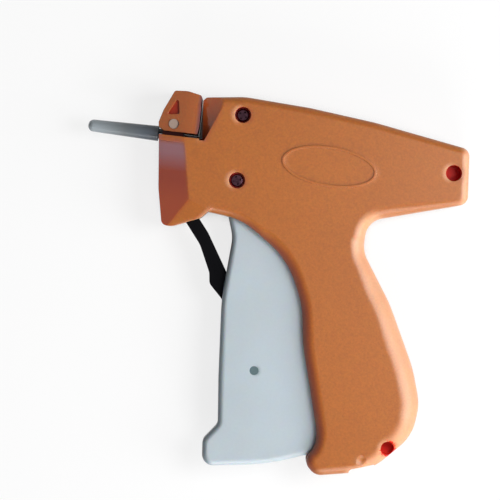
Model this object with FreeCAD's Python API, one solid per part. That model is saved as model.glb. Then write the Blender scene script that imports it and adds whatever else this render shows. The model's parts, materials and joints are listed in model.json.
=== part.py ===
import FreeCAD, Part
import math
import os

# Garment tag attacher, millimetres and degrees.
# While it is modelled, X runs along the barrel from nose to rear, Y points to the top of the gun,
# and Z is its thickness, with the joint between the casing halves at Z zero and the barrel at
# Y zero. At the end everything moves up so that the gun lies on its right side at Z zero.

# Driving sizes of the casing
casing_length = 124.0        # nose face to rear face
casing_height = 144.0        # top of the casing to the heel of the handle
half_thickness = 12.2        # one casing half
casing_wall = 2.4
overrun = 1.0                # how far a cut runs past what it cuts

arc_room_share = 0.49        # most of a side that one rounded corner may take
press_gap = 0.02             # gap round a pin or screw that is held fast

# Fits
running_fit = 0.05           # radial gap of a turning or sliding fit
seat_gap = 0.2               # gap where a loose piece lies on its seat
moving_gap = 0.5             # gap beside a moving piece

# Casing outline, clockwise from the foot of the nose: place along the length, place along the
# height, corner radius as a share of the length, edge rounding as a share of the half thickness
casing_outline_shares = [
    (0.045, -0.2479, 0.026, 0.00),
    (0.021, -0.1493, 0.250, 0.00),
    (0.002, -0.0031, 0.000, 0.00),
    (0.140, -0.0031, 0.000, 0.00),
    (0.129, 0.1014, 0.000, 0.13),
    (0.138, 0.1111, 0.010, 0.13),
    (0.258, 0.1257, 0.202, 0.25),
    (0.468, 0.1174, 0.500, 0.25),
    (0.677, 0.0993, 0.500, 0.25),
    (0.984, 0.0576, 0.030, 0.25),
    (0.999, -0.0903, 0.030, 0.25),
    (0.690, -0.1694, 0.089, 0.42),
    (0.690, -0.2535, 0.097, 0.50),
    (0.794, -0.3861, 0.484, 0.62),
    (0.891, -0.5521, 0.484, 0.66),
    (0.927, -0.6493, 0.161, 0.66),
    (0.914, -0.7396, 0.145, 0.62),
    (0.815, -0.8264, 0.161, 0.48),
    (0.761, -0.8520, 0.073, 0.34),
    (0.624, -0.8750, 0.042, 0.31),
    (0.581, -0.8403, 0.040, 0.31),
    (0.613, -0.7951, 0.073, 0.34),
    (0.613, -0.7563, 0.202, 0.36),
    (0.537, -0.5292, 0.419, 0.36),
    (0.518, -0.4194, 0.290, 0.36),
    (0.454, -0.2993, 0.315, 0.36),
    (0.296, -0.2069, 0.323, 0.27),
    (0.185, -0.1965, 0.000, 0.20),
    (0.164, -0.2167, 0.016, 0.00),
    (0.077, -0.2479, 0.048, 0.00),
]
room_corner_share = 0.28      # the main room follows the outline's corners behind this
room_front_share = 0.170     # front end of the main room's outline before the wall is taken off
room_top_share = 0.117
room_bottom_share = -0.195
room_rounding_less = 1.5     # the room's edges are rounded this much less than one wall would leave
least_room_rounding = 1.5

# Head of the casing, where clips go in
slit_width = 1.6
slit_lean_share = 0.123      # how far the clip channel leans back for each unit it goes down
hub_seat_depth = 2.2         # seat of the needle's foot, below the barrel
clip_runner_depth = 6.6      # how far the runner's channel reaches to the right of the joint
slit_back_gap = 0.3          # between the latch and the wall that closes the slit on the right side
slit_back_lead = 1.9         # the wall under the latch starts this far behind the latch pin
clip_groove_half = 0.9
clip_groove_length = 3.8
facet_length = 8.4           # sloped side of the clip entry, at its top
facet_depth = 2.4
facet_foot_share = 0.12      # length of that slope at its foot, as a share of its top
facet_top = 17.0             # height of that slope above the barrel
# the nose's bevel starts at this line on the side face, and falls to a depth at the nose face
nose_bevel_top_shares = (0.087, -0.0222)
nose_bevel_foot_shares = (0.1213, -0.1688)
nose_bevel_depth = 4.2
nose_strip_foot = 2.7        # above this the bevel is half as deep
nose_strip_share = 0.5
# a second slope under the first one, met along a slanted line that ends at this place
nose_slant_shares = (0.0762, -0.2306)
nose_slope_rear_shares = (0.1935, -0.1972)
ear_inside = 3.4
ear_outside = 6.4
ear_radius = 4.1

# Needle latch
latch_length_share = 0.1258
latch_length = latch_length_share * casing_length
latch_pin_x = 5.6
latch_pin_y = 4.2
latch_pin_radius = 1.9
latch_half_width = 11.2
latch_room_half = 6.8
latch_opening_angle = 30.0   # how far it turns forward
latch_front_radius = 6.0
latch_height = 17.4
latch_ledge_gap = 0.3        # above the ledge when it is open
latch_bevel_depth = 2.2
latch_tab_half = 2.8         # tab that holds the needle's foot down
# outline of the block as shares of its length and height, with corner radii as shares of its height
latch_outline_shares = [
    (-0.026, 0.25, 0.0),
    (0.060, 0.530, 0.3),
    (0.290, 0.990, 0.06),
    (0.620, 1.010, 0.3),
    (0.985, 0.945, 0.06),
    (1.000, 0.24, 0.3),
    (0.975, 0.069, 0.0),
    (0.000, 0.069, 0.0),
]
latch_mark_shares = [(0.40, 0.84), (0.47, 0.48), (0.165, 0.44)]
latch_mark_depth = 0.9
latch_mark_corner = 0.5

# Needle, its foot and its cap
needle_radius = 1.2
needle_bore_radius = 0.85
needle_tip = 25.2            # in front of the nose face
needle_slot_half = 0.35
needle_point_length = 3.0
needle_root = 9.0
hub_front = 1.0
hub_rear = 10.0
hub_half_width = 3.2
hub_top = 2.1
hub_spigot_radius = 2.0
hub_spigot_length = 4.0
hub_foot_front = 3.0
hub_foot_rear = 9.5
hub_foot_depth = 6.0
hub_foot_half = 1.6
cap_length = 28.0
cap_base_gap = 0.1           # in front of the nose face
cap_base_radius = 3.0
cap_tip_radius = 2.4
cap_wall = 0.8
cap_tip_round = 2.2

# Cutter blade
blade_gap = 0.6              # in front of the clip's channel
blade_length = 3.6
blade_rear = latch_length - blade_gap
blade_front = blade_rear - blade_length
blade_thickness = 0.6
blade_side = 2.0             # to the right of the joint
blade_top = 0.5
blade_foot = 6.0
blade_bevel = 1.2

# Trigger, which hangs from its bush behind the nose
trigger_travel = 14.0
trigger_pivot_x_share = 0.2653
trigger_pivot_y_share = -0.1028
trigger_half_width = 6.5
trigger_wall = 2.0
trigger_hub_radius = 7.0
trigger_edge = 2.4
bush_outer_radius = 3.5
bush_bore_radius = 1.7
trigger_outline_shares = [
    (0.240, -0.112, 0.0),
    (0.247, -0.191, 0.02),
    (0.273, -0.257, 0.12),
    (0.262, -0.431, 0.60),
    (0.282, -0.640, 0.50),
    (0.298, -0.768, 0.030),
    (0.256, -0.816, 0.030),
    (0.264, -0.888, 0.036),
    (0.468, -0.8625, 0.70),
    (0.648, -0.805, 0.020),
    (0.612, -0.690, 0.10),
    (0.612, -0.640, 0.04),
    (0.574, -0.500, 0.06),
    (0.540, -0.400, 0.09),
    (0.415, -0.245, 0.07),
    (0.325, -0.170, 0.04),
    (0.310, -0.110, 0.0),
]
trigger_pin_x_share = 0.392
trigger_pin_y_share = -0.612
trigger_pin_radius = 1.75
trigger_window_half = 12.8   # half height of the opening through which the feed lever enters
trigger_window_y_share = -0.3778
trigger_lug_radius = 5.6
trigger_front_limit_shares = (0.36, -0.83)
# open rear of the hollow trigger, and the opening for it in the casing's front
trigger_rear_shares = [(0.48, -0.29, 0), (0.80, -0.29, 0), (0.80, -0.784, 0), (0.48, -0.784, 0)]
gate_shares = [
    (0.243, -0.178, 0),
    (0.243, -0.930, 0),
    (0.660, -0.930, 0),
    (0.660, -0.750, 0),
    (0.600, -0.620, 0),
    (0.555, -0.420, 0),
    (0.430, -0.178, 0),
]

# Drive lever, whose two cheeks lie outside the trigger
lever_pivot_x_share = 0.5726
lever_pivot_y_share = -0.3819
lever_hub_radius = 4.2
lever_bore_radius = 2.0
lever_inside = 6.9
lever_outside = 8.9
lever_arm_half = 3.1
lever_fork_reach = 7.2       # fork tips past the slider pin at mid stroke
lever_fork_half = 4.3
lever_slot_half = 2.05
lever_bow = 3.4              # how far the upper arm bends forward, clear of the neck
lever_bridge_share = 0.66    # where the cheeks are joined, along the upper arm
lever_bridge_bow_share = 0.67
lever_bridge_length = 6.0
lever_bridge_thickness = 2.4
lever_end_radius = 3.0
drive_pin_radius = 1.5
drive_slot_gap = 0.35
lever_edge = 1.5

# Slider, its pin and the push rod
slider_rest_share = 0.742    # slider pin at rest, along the casing's length
slider_stroke = 44.0
slider_half_length = 8.0
slider_half_height = 5.2
slider_half_width = 6.2
slider_pin_radius = 1.5
slider_rail_half = 1.8
slider_rail_depth = 1.6
slider_edge = 0.8
slider_rail_gap = 0.2
rail_lead = 3.0              # rails start this far in front of the fired slider
rail_height = 3.6
rod_guide_past_latch = 10.4
rod_guide_length = 4.0
rod_guide_front = latch_length + rod_guide_past_latch
rod_guide_rear = rod_guide_front + rod_guide_length
rod_guide_half = 2.6
rod_radius = 0.6
rod_tip_past_latch = 4.8
rod_tip_x = latch_length + rod_tip_past_latch
rod_root_length = 6.0

# Feed lever, wheel, pawl and check spring in the nose
wheel_lead = 3.2             # from the wheel's axis to the latch's rear
wheel_x = latch_length - wheel_lead
wheel_y = -20.6
wheel_tooth_count = 28
wheel_outer_radius = 7.0
wheel_root_radius = 6.2
wheel_inner_side = 3.7       # to the right of the joint
wheel_outer_side = 6.7
wheel_shaft_radius = 1.5
wheel_hub_radius = 3.2
wheel_web_side = 1.0
feed_lever_half = 2.5
feed_lever_hub_radius = 4.6
feed_lever_shares = [
    (0.0645, -0.1500, 0.0),
    (0.1194, -0.2319, 0.03),
    (0.1726, -0.2882, 0.08),
    (0.2129, -0.3611, 0.03),
    (0.2177, -0.3910, 0.025),
    (0.2645, -0.4306, 0.05),
    (0.3524, -0.5903, 0.0),
    (0.3927, -0.5715, 0.0),
    (0.2629, -0.3486, 0.08),
    (0.1935, -0.2528, 0.08),
    (0.1548, -0.2125, 0.05),
    (0.1339, -0.1306, 0.0),
]
feed_lever_tail = 5.0
feed_frame_half = 4.4
feed_slot_gap = 0.3
pawl_arm = 9.6
pawl_angle = -104.0
pawl_pin_radius = 0.9
pawl_ear_radius = 2.2
pawl_radius = 1.8
pawl_tip_angle = -92.0
pawl_tip_lag = 1.5           # the tip lies this far behind the tooth that it pushes
check_spring_thickness = 0.4
check_spring_width = 3.0
check_spring_gap = 0.15
guide_top = -12.6
guide_foot = -27.0
nose_room_top = -12.4
nose_room_bend = -22.0
nose_room_foot = -33.0
nose_room_gap = 0.8          # in front of the wheel
nose_room_foot_lead = 4.4    # from the room's foot to the wheel's axis
nose_room_past_latch = 7.2
nose_room_front = wheel_x - wheel_outer_radius - nose_room_gap
nose_room_front_foot = wheel_x - nose_room_foot_lead
nose_room_rear = latch_length + nose_room_past_latch
nose_room_left = 3.1
nose_room_right = 7.0
feed_gate_past_wheel = 0.8   # the gate starts this far behind the wheel's axis
feed_gate_length = 11.8
feed_gate_front = wheel_x + feed_gate_past_wheel
feed_gate_rear = feed_gate_front + feed_gate_length
feed_gate_half = 3.0
shaft_reach = 2.2            # length of the shaft in each shell

# Screws, wells and pegs
well_radius = 3.15
boss_radius = 4.8
screw_radius = 1.45
screw_head_radius = 2.8
screw_head_height = 2.2
screw_slot_depth = 0.9
screw_slot_half = 0.4
upper_screw_x_share = 0.259
upper_screw_y_share = 0.0757
upper_screw_floor = 6.0
pivot_screw_floor = 8.6
screw_depth = 8.0            # below the joint
pivot_screw_depth = 10.6
screw_cross_share = 0.6
peg_floor = 4.2
peg_radius = 2.2
rear_peg_x_share = 0.942
rear_peg_y_share = -0.0118
heel_peg_x_share = 0.840
heel_peg_y_share = -0.7771
heel_well_radius = 2.7

# Return spring in the handle
spring_x_share = 0.629
spring_y_share = -0.7014
spring_radius = 3.9          # to the middle of the wire
spring_wire_radius = 0.5
spring_turn_count = 9
quarter_count = 4            # the coil is made of quarter turns
spring_seat_gap = 0.25
spring_spigot_radius = 2.7
spring_spigot_length = 4.0
spring_length = 35.0
spring_pad_radius = 5.0

# Oval place on the left side, bare
oval_x_share = 0.549
oval_y_share = -0.0354
oval_half_length = 18.7
oval_half_height = 7.9
oval_tilt = -2.2
oval_ring_width = 0.9
oval_ring_height = 0.4

# Notch for a hanging strap at the heel
notch_shares = [
    (0.7309, -0.8856),
    (0.7274, -0.8517),
    (0.7336, -0.8455),
    (0.7799, -0.8326),
    (0.8065, -0.8256),
    (0.8530, -0.8727),
]
notch_corner = 1.0
notch_hollow_radius = 4.6
notch_hollow_depth = 0.7
notch_hollow_shares = (0.765, -0.820)

axis_z = FreeCAD.Vector(0, 0, 1)
axis_x = FreeCAD.Vector(1, 0, 0)


def point(x, y, z=0):
    return FreeCAD.Vector(x, y, z)


def on_casing(x_share, y_share):
    return point(x_share * casing_length, y_share * casing_height)


def turned(vector, angle, centre=None):
    """The point turned about an axis along Z."""
    middle = centre if centre is not None else point(0, 0)
    offset = vector - middle
    c = math.cos(math.radians(angle))
    s = math.sin(math.radians(angle))
    return middle + point(offset.x * c - offset.y * s, offset.x * s + offset.y * c, offset.z)


trigger_pivot = on_casing(trigger_pivot_x_share, trigger_pivot_y_share)
trigger_pin = on_casing(trigger_pin_x_share, trigger_pin_y_share)
lever_pivot = on_casing(lever_pivot_x_share, lever_pivot_y_share)
upper_screw = on_casing(upper_screw_x_share, upper_screw_y_share)
rear_peg = on_casing(rear_peg_x_share, rear_peg_y_share)
heel_peg = on_casing(heel_peg_x_share, heel_peg_y_share)
latch_pin_place = point(latch_pin_x, latch_pin_y)
wheel_centre = point(wheel_x, wheel_y)

# The drive lever's swing carries the slider pin along the barrel, and the place of the drive pin
# follows from the ratio of the two swings, so that both pins keep to their slots.
slider_rest_x = slider_rest_share * casing_length
slider_fired_x = slider_rest_x - slider_stroke
lever_rest_angle = math.degrees(math.atan2(-lever_pivot.y, slider_rest_x - lever_pivot.x))
lever_fired_angle = math.degrees(math.atan2(-lever_pivot.y, slider_fired_x - lever_pivot.x))
lever_swing = lever_fired_angle - lever_rest_angle
lever_ratio = lever_swing / trigger_travel
pivot_line = lever_pivot - trigger_pivot
pivot_line_angle = math.degrees(math.atan2(pivot_line.y, pivot_line.x))
lower_arm = pivot_line.Length / (lever_ratio - 1)
lower_arm_angle = pivot_line_angle - lever_swing / 2
drive_pin_place = lever_pivot + turned(point(lower_arm, 0), lower_arm_angle)

# The feed lever's swing follows from the pin in the trigger.
pin_from_wheel = trigger_pin - wheel_centre
fired_pin_from_wheel = turned(trigger_pin, trigger_travel, trigger_pivot) - wheel_centre
feed_rest_angle = math.degrees(math.atan2(pin_from_wheel.y, pin_from_wheel.x))
feed_fired_angle = math.degrees(math.atan2(fired_pin_from_wheel.y, fired_pin_from_wheel.x))
feed_swing = feed_fired_angle - feed_rest_angle

# The return spring lies across the handle, square to the trigger's swing at half travel.
spring_foot = on_casing(spring_x_share, spring_y_share)
spring_arm = spring_foot - trigger_pivot
spring_angle = math.degrees(math.atan2(spring_arm.y, spring_arm.x)) + 90 + trigger_travel / 2


def rounded_wire(corners):
    """Closed wire of lines and tangent arcs from corners that start with x, y and radius."""
    count = len(corners)
    starts = []
    middles = []
    ends = []
    for index, corner in enumerate(corners):
        here = point(corner[0], corner[1])
        before = point(*corners[index - 1][:2])
        after = point(*corners[(index + 1) % count][:2])
        room = min((before - here).Length, (after - here).Length) * arc_room_share
        to_before = (before - here).normalize()
        to_after = (after - here).normalize()
        half_angle = to_before.getAngle(to_after) / 2
        reach = min(corner[2] / math.tan(half_angle), room)
        radius = reach * math.tan(half_angle)
        bisector = (to_before + to_after).normalize() if radius else to_after
        starts.append(here + to_before * reach)
        middles.append(here + bisector * (radius / math.sin(half_angle) - radius))
        ends.append(here + to_after * reach)
    edges = []
    for index in range(count):
        if corners[index][2]:
            edges.append(Part.Arc(starts[index], middles[index], ends[index]).toShape())
        edges.append(Part.LineSegment(ends[index], starts[(index + 1) % count]).toShape())
    return Part.Wire(edges)


def prism(corners, low, high):
    """Solid between two heights over an outline of corners."""
    face = Part.Face(rounded_wire(corners))
    face.translate(point(0, 0, low))
    return face.extrude(point(0, 0, high - low))


def sharp(corners):
    return [(corner[0], corner[1], 0) for corner in corners]


def scaled(shares):
    """Corners in millimetres from an outline in shares of the casing."""
    return [(x * casing_length, y * casing_height, r * casing_length) for x, y, r in shares]


def disc(centre, radius, low, high):
    return Part.makeCylinder(radius, high - low, point(centre.x, centre.y, low), axis_z)


def rod_along_x(radius, front, rear, y=0, z=0):
    return Part.makeCylinder(radius, rear - front, point(front, y, z), axis_x)


def block(x, y, z):
    """Box between two places along each axis."""
    return Part.makeBox(x[1] - x[0], y[1] - y[0], z[1] - z[0], point(x[0], y[0], z[0]))


def mirrored(shape):
    """The same piece on the other side of the joint between the halves."""
    return shape.mirror(point(0, 0), axis_z)


def both_sides(shape):
    return shape.fuse(mirrored(shape))


def inset(corners, wall):
    """Corners of a clockwise outline moved inwards by a wall."""
    count = len(corners)
    moved = []
    for index, corner in enumerate(corners):
        before = point(*corners[index - 1][:2])
        here = point(*corner[:2])
        after = point(*corners[(index + 1) % count][:2])
        first = (here - before).normalize()
        second = (after - here).normalize()
        first_inward = point(first.y, -first.x)
        second_inward = point(second.y, -second.x)
        turn = first.x * second.y - first.y * second.x
        bisector = (first_inward + second_inward).normalize()
        place = here + bisector * (wall / bisector.dot(first_inward))
        radius = corner[2] - wall if turn < 0 else corner[2] + wall
        moved.append((place.x, place.y, max(radius, 0)) + tuple(corner[3:]))
    return moved


def thick_line(places, half_width, radius):
    """Corners of a bar of even width along a path of points."""
    near = []
    far = []
    for index, here in enumerate(places):
        before = places[max(index - 1, 0)]
        after = places[min(index + 1, len(places) - 1)]
        along = (after - here).normalize() if index == 0 else (here - before).normalize()
        onward = (after - here).normalize() if index < len(places) - 1 else along
        side = (point(-along.y, along.x) + point(-onward.y, onward.x)).normalize()
        reach = half_width / side.dot(point(-along.y, along.x))
        near.append((here.x + side.x * reach, here.y + side.y * reach, radius))
        far.append((here.x - side.x * reach, here.y - side.y * reach, radius))
    return near + far[::-1]


def slot_shape(start, end, radius, low, high):
    """A slot with round ends between two points."""
    side = (end - start).normalize()
    across = point(-side.y, side.x) * radius
    corners = [start + across, end + across, end - across, start - across]
    straight = prism([(c.x, c.y, 0) for c in corners], low, high)
    return straight.fuse([disc(start, radius, low, high), disc(end, radius, low, high)])


def rounded_prism(corners, depth, first, last):
    """Half of a casing form from the joint up, its outer edge rounded as each corner says."""
    solid = prism(corners, 0, depth)
    document = FreeCAD.newDocument()
    base = document.addObject("Part::Feature", "base")
    base.Shape = solid
    rounded = document.addObject("Part::Fillet", "rounded")
    rounded.Base = base
    chosen = []
    for number, edge in enumerate(solid.Edges, 1):
        low, high = edge.firstVertex(), edge.lastVertex()
        if min(low.Z, high.Z) < depth - running_fit:
            continue
        nearest = [nearest_corner(vertex.Point, corners) for vertex in (low, high)]
        if all(first <= index <= last for index in nearest) and nearest != [first, first]:
            radii = [corners[index][3] for index in nearest]
            chosen.append((number, radii[0], radii[1]))
    rounded.Edges = chosen
    document.recompute()
    result = rounded.Shape.copy()
    FreeCAD.closeDocument(document.Name)
    return result


def nearest_corner(place, corners):
    distances = [(place - point(x, y, place.z)).Length for x, y, *rest in corners]
    return distances.index(min(distances))


def casing_corners():
    """The casing's outline in millimetres, each corner with its edge rounding."""
    return [
        (x * casing_length, y * casing_height, corner * casing_length, edge * half_thickness)
        for x, y, corner, edge in casing_outline_shares
    ]


def room_corners():
    """Outline of the main room, one wall inside the casing."""
    front_x = room_front_share * casing_length
    top = (front_x, room_top_share * casing_height, 0, casing_wall)
    foot = (front_x, room_bottom_share * casing_height, 0, casing_wall)
    behind = [corner for corner in casing_corners() if corner[0] > room_corner_share * casing_length]
    outline = [top] + behind + [foot]
    rounded = []
    for x, y, corner, edge in inset(outline, casing_wall):
        edge = max(edge - casing_wall - room_rounding_less, least_room_rounding)
        rounded.append((x, y, max(corner, edge + seat_gap), edge))
    return rounded


def clip_channel_x(y):
    """Front side of the clip channel at a height."""
    return latch_length - slit_lean_share * y


def facet_cutter(first, second, third):
    """Everything outside the sloped face through three places."""
    along = (second - first).normalize()
    outward = along.cross(third - first).normalize()
    if outward.z < 0:
        outward = outward * -1
    across = outward.cross(along)
    reach = casing_length
    corners = [
        first + (along + across) * reach,
        first + (across - along) * reach,
        first - (along + across) * reach,
        first + (along - across) * reach,
    ]
    return Part.Face(Part.makePolygon(corners + corners[:1])).extrude(outward * half_thickness)


def at_depth(shares, depth):
    place = on_casing(*shares)
    return point(place.x, place.y, half_thickness - depth)


def nose_bevel():
    """The glossy bevel on the nose, shallower above, and the slope that it meets below."""
    top = at_depth(nose_bevel_top_shares, 0)
    foot = at_depth(nose_bevel_foot_shares, 0)
    height = (0, 2 * half_thickness)
    across = (-overrun, casing_length)
    bevel = facet_cutter(top, foot, point(0, top.y, half_thickness - nose_bevel_depth))
    strip_depth = nose_bevel_depth * nose_strip_share
    strip = facet_cutter(top, foot, point(0, top.y, half_thickness - strip_depth))
    bevel = bevel.common(block(across, (-casing_height, -nose_strip_foot), height))
    strip = strip.common(block(across, (-nose_strip_foot, 0), height))
    slant = on_casing(*nose_slant_shares)
    border_x = top.x + (foot.x - top.x) * (slant.y - top.y) / (foot.y - top.y)
    slant_depth = nose_bevel_depth * (border_x - slant.x) / top.x
    slope = facet_cutter(
        foot,
        at_depth(nose_slope_rear_shares, 0),
        at_depth(nose_slant_shares, slant_depth),
    )
    rear = nose_slope_rear_shares[0] * casing_length
    slope = slope.common(block((-overrun, rear), (-casing_height, foot.y), height))
    return bevel.fuse([strip, slope])


def clip_facet():
    """Cutter of the sloped side behind the slit."""
    start = latch_length + slit_width
    wires = []
    for y, share in ((-overrun, facet_foot_share), (facet_top, 1.0), (casing_height, 1.0)):
        length = facet_length * share
        places = [
            point(start - overrun, y, half_thickness - facet_depth - overrun * facet_depth / length),
            point(start + length, y, half_thickness),
            point(start + length, y, half_thickness + overrun),
            point(start - overrun, y, half_thickness + overrun),
        ]
        wires.append(Part.makePolygon(places + places[:1]))
    return Part.makeLoft(wires, True, True)


def latch_slope(depth):
    """Everything outside the latch's side, which slopes towards its front."""
    crest = point(2 * latch_pin_x, 0, latch_half_width - depth)
    above = point(2 * latch_pin_x, latch_height, latch_half_width - depth)
    front = point(0, 0, latch_half_width - latch_bevel_depth - depth)
    return facet_cutter(crest, above, front).common(
        block((-latch_length, 2 * latch_length), (-latch_height, 2 * latch_height), (0, half_thickness))
    )


def slit_back():
    """Wall that closes the clip's slit and the gap under the latch on the right side."""
    high = half_thickness - facet_depth
    low = high - casing_wall
    ledge = casing_outline_shares[3][1] * casing_height
    rear = latch_length + slit_width + slit_back_gap
    behind = block(
        (latch_length + slit_back_gap, rear),
        (ledge - overrun, casing_outline_shares[4][1] * casing_height),
        (low, high),
    )
    under = block(
        (latch_pin_x + slit_back_lead, rear),
        (ledge - overrun, latch_outline_shares[-1][1] * latch_height - slit_back_gap),
        (low, high),
    )
    return behind.fuse(under)


def boss(centre, radius, low):
    return disc(centre, radius, low, half_thickness - casing_wall / 2)


def nose_room(depth):
    corners = [
        (nose_room_front, nose_room_top, 0),
        (nose_room_rear, nose_room_top, 0),
        (nose_room_rear, nose_room_bend, 0),
        (nose_room_rear, nose_room_foot, 0),
        (nose_room_front_foot, nose_room_foot, 0),
        (nose_room_front, nose_room_bend, 0),
    ]
    inside = prism(corners, -overrun, depth)
    gate = block(
        (feed_gate_front, feed_gate_rear),
        (nose_room_foot - casing_wall - overrun, nose_room_bend),
        (-overrun, feed_gate_half),
    )
    return inside.fuse(gate)


def clip_channel(depth):
    """Channel of the clip's runner, down through the ledge and the nose."""
    foot_y = -casing_height
    corners = [
        (clip_channel_x(0), 0, 0),
        (clip_channel_x(0) + slit_width, 0, 0),
        (clip_channel_x(foot_y) + slit_width, foot_y, 0),
        (clip_channel_x(foot_y), foot_y, 0),
    ]
    return prism(corners, -overrun, depth)


def barrel_openings():
    """Push rod's bore, the groove for the clip's bars and the pocket of the needle's foot."""
    slit_rear = latch_length + slit_width
    bore = rod_along_x(needle_bore_radius, hub_rear, room_front_share * casing_length + rod_guide_rear)
    groove = block(
        (slit_rear - overrun, slit_rear + clip_groove_length),
        (0, casing_height),
        (-overrun, clip_groove_half),
    )
    seat = block(
        (-overrun, hub_rear + seat_gap),
        (-hub_seat_depth, hub_top),
        (-overrun, ear_inside),
    )
    pocket = block(
        (hub_foot_front - seat_gap, hub_foot_rear + seat_gap),
        (-hub_foot_depth - seat_gap, 0),
        (-overrun, hub_foot_half + seat_gap),
    )
    return [bore, groove, seat, pocket]


def trigger_gate():
    """Opening in the casing's front through which the trigger swings."""
    places = [on_casing(x, y) for x, y, corner in trigger_outline_shares]
    reach = max((place - trigger_pivot).Length for place in places) + moving_gap
    depth = trigger_half_width + moving_gap
    sweep = disc(trigger_pivot, reach, -overrun, depth)
    return sweep.common(prism(sharp(scaled(gate_shares)), -overrun, depth))


def rails():
    """Rails above and below the barrel, on which the slider runs."""
    low = slider_half_height - slider_rail_depth + slider_rail_gap
    front = slider_fired_x - slider_half_length - rail_lead
    rear = rear_peg.x
    upper = block((front, rear), (low, casing_height), (0, slider_rail_half))
    lower = block((front, rear), (-low - rail_height, -low), (0, slider_rail_half))
    post = block((front, front + casing_wall), (-low - rail_height, -low), (0, half_thickness))
    guide = block(
        (rod_guide_front, rod_guide_rear),
        (-rod_guide_half, rod_guide_half),
        (0, half_thickness),
    )
    return [upper, lower, post, guide]


def ears():
    """Ears on the ledge that hold the latch pin on both sides of the needle's foot."""
    foot = block(
        (latch_pin_x - ear_radius, latch_pin_x + ear_radius),
        (-hub_seat_depth - overrun, latch_pin_y),
        (ear_inside, ear_outside),
    )
    ear = foot.fuse(disc(latch_pin_place, ear_radius, ear_inside, ear_outside))
    hole = disc(latch_pin_place, latch_pin_radius + press_gap, 0, half_thickness)
    return ear.cut(hole)


def casing_half(right):
    """One half of the casing, built from the joint outwards."""
    outline = casing_corners()
    edged = [number for number, corner in enumerate(outline) if corner[3] > 0]
    outer = rounded_prism(outline, half_thickness, edged[0], edged[-1])
    outer = outer.cut(nose_bevel())
    room = room_corners()
    inner = rounded_prism(room, half_thickness - casing_wall, 0, len(room) - 1)
    shell = outer.cut(inner)
    stub_low = trigger_half_width + moving_gap
    added = rails() + [
        boss(trigger_pivot, boss_radius, stub_low),
        boss(upper_screw, boss_radius, 0),
        boss(rear_peg, boss_radius, 0),
        boss(heel_peg, boss_radius, 0),
        boss(lever_pivot, lever_bore_radius - running_fit, stub_low),
        boss(lever_pivot, lever_hub_radius, lever_outside + seat_gap),
    ] + spring_seat()
    shell = shell.fuse([piece.common(outer) for piece in added] + [ears()])
    cuts = [nose_room(nose_room_right if right else nose_room_left)]
    cuts += barrel_openings()
    cuts.append(clip_channel(clip_runner_depth if right else clip_groove_half))
    cuts.append(trigger_gate())
    cuts.append(clip_facet())
    cuts.append(heel_notch())
    shaft_depth = (nose_room_right if right else nose_room_left) + shaft_reach
    cuts.append(disc(wheel_centre, wheel_shaft_radius + press_gap, -overrun, shaft_depth + press_gap))
    cuts += right_holes() if right else left_holes()
    if right:
        cuts.append(blade_pocket())
    return shell.cut(cuts)


def spring_seat():
    """Pad on the handle's rear wall for the return spring, with a spigot in its coil."""
    foot, along = spring_places()
    seat = foot + along * (spring_length + spring_seat_gap)
    pad = Part.makeCylinder(spring_pad_radius, half_thickness, seat, along)
    spigot_foot = seat - along * spring_spigot_length
    spigot = Part.makeCylinder(
        spring_spigot_radius, spring_spigot_length + overrun, spigot_foot, along
    )
    return [pad, spigot]


def left_holes():
    """Wells for the screw heads and sockets for the pegs."""
    outside = half_thickness + overrun
    return [
        disc(upper_screw, well_radius, upper_screw_floor, outside),
        disc(upper_screw, bush_bore_radius, -overrun, outside),
        disc(trigger_pivot, well_radius, pivot_screw_floor, outside),
        disc(trigger_pivot, bush_bore_radius, 0, outside),
        disc(rear_peg, well_radius, peg_floor, outside),
        disc(rear_peg, peg_radius + press_gap, -overrun, outside),
        disc(heel_peg, heel_well_radius, peg_floor, outside),
        disc(heel_peg, peg_radius + press_gap, -overrun, outside),
    ]


def right_holes():
    """Pilot holes of the two screws."""
    return [
        disc(upper_screw, screw_radius + press_gap, -overrun, screw_depth + press_gap),
        disc(trigger_pivot, screw_radius + press_gap, 0, pivot_screw_depth + press_gap),
    ]


def heel_notch():
    """Notch under the heel with a thumb-shaped hollow beside it, for a hanging strap."""
    corners = [(x * casing_length, y * casing_height, notch_corner) for x, y in notch_shares]
    notch = prism(corners, -overrun, half_thickness + overrun)
    place = on_casing(*notch_hollow_shares)
    hollow = Part.makeSphere(
        notch_hollow_radius,
        point(place.x, place.y, half_thickness + notch_hollow_radius - notch_hollow_depth),
    )
    return notch.fuse(hollow)


def oval_ring():
    """Raised bare oval on the left side."""
    centre = on_casing(oval_x_share, oval_y_share)
    low = half_thickness - oval_ring_height
    solids = []
    for shrink in (0, oval_ring_width):
        ellipse = Part.Ellipse(point(0, 0), oval_half_length - shrink, oval_half_height - shrink)
        face = Part.Face(Part.Wire(ellipse.toShape()))
        face.rotate(point(0, 0), axis_z, oval_tilt)
        face.translate(point(centre.x, centre.y, low))
        solids.append(face.extrude(point(0, 0, 2 * oval_ring_height)))
    return solids[0].cut(solids[1])


def left_shell():
    return casing_half(False).fuse(oval_ring())


def right_shell():
    shell = casing_half(True)
    pegs = [disc(place, peg_radius, -peg_floor + seat_gap, overrun) for place in (rear_peg, heel_peg)]
    return mirrored(shell.fuse(pegs + [slit_back()]))


def spring_places():
    """Foot of the return spring on the trigger and its direction."""
    return spring_foot, turned(point(1, 0), spring_angle)


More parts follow.
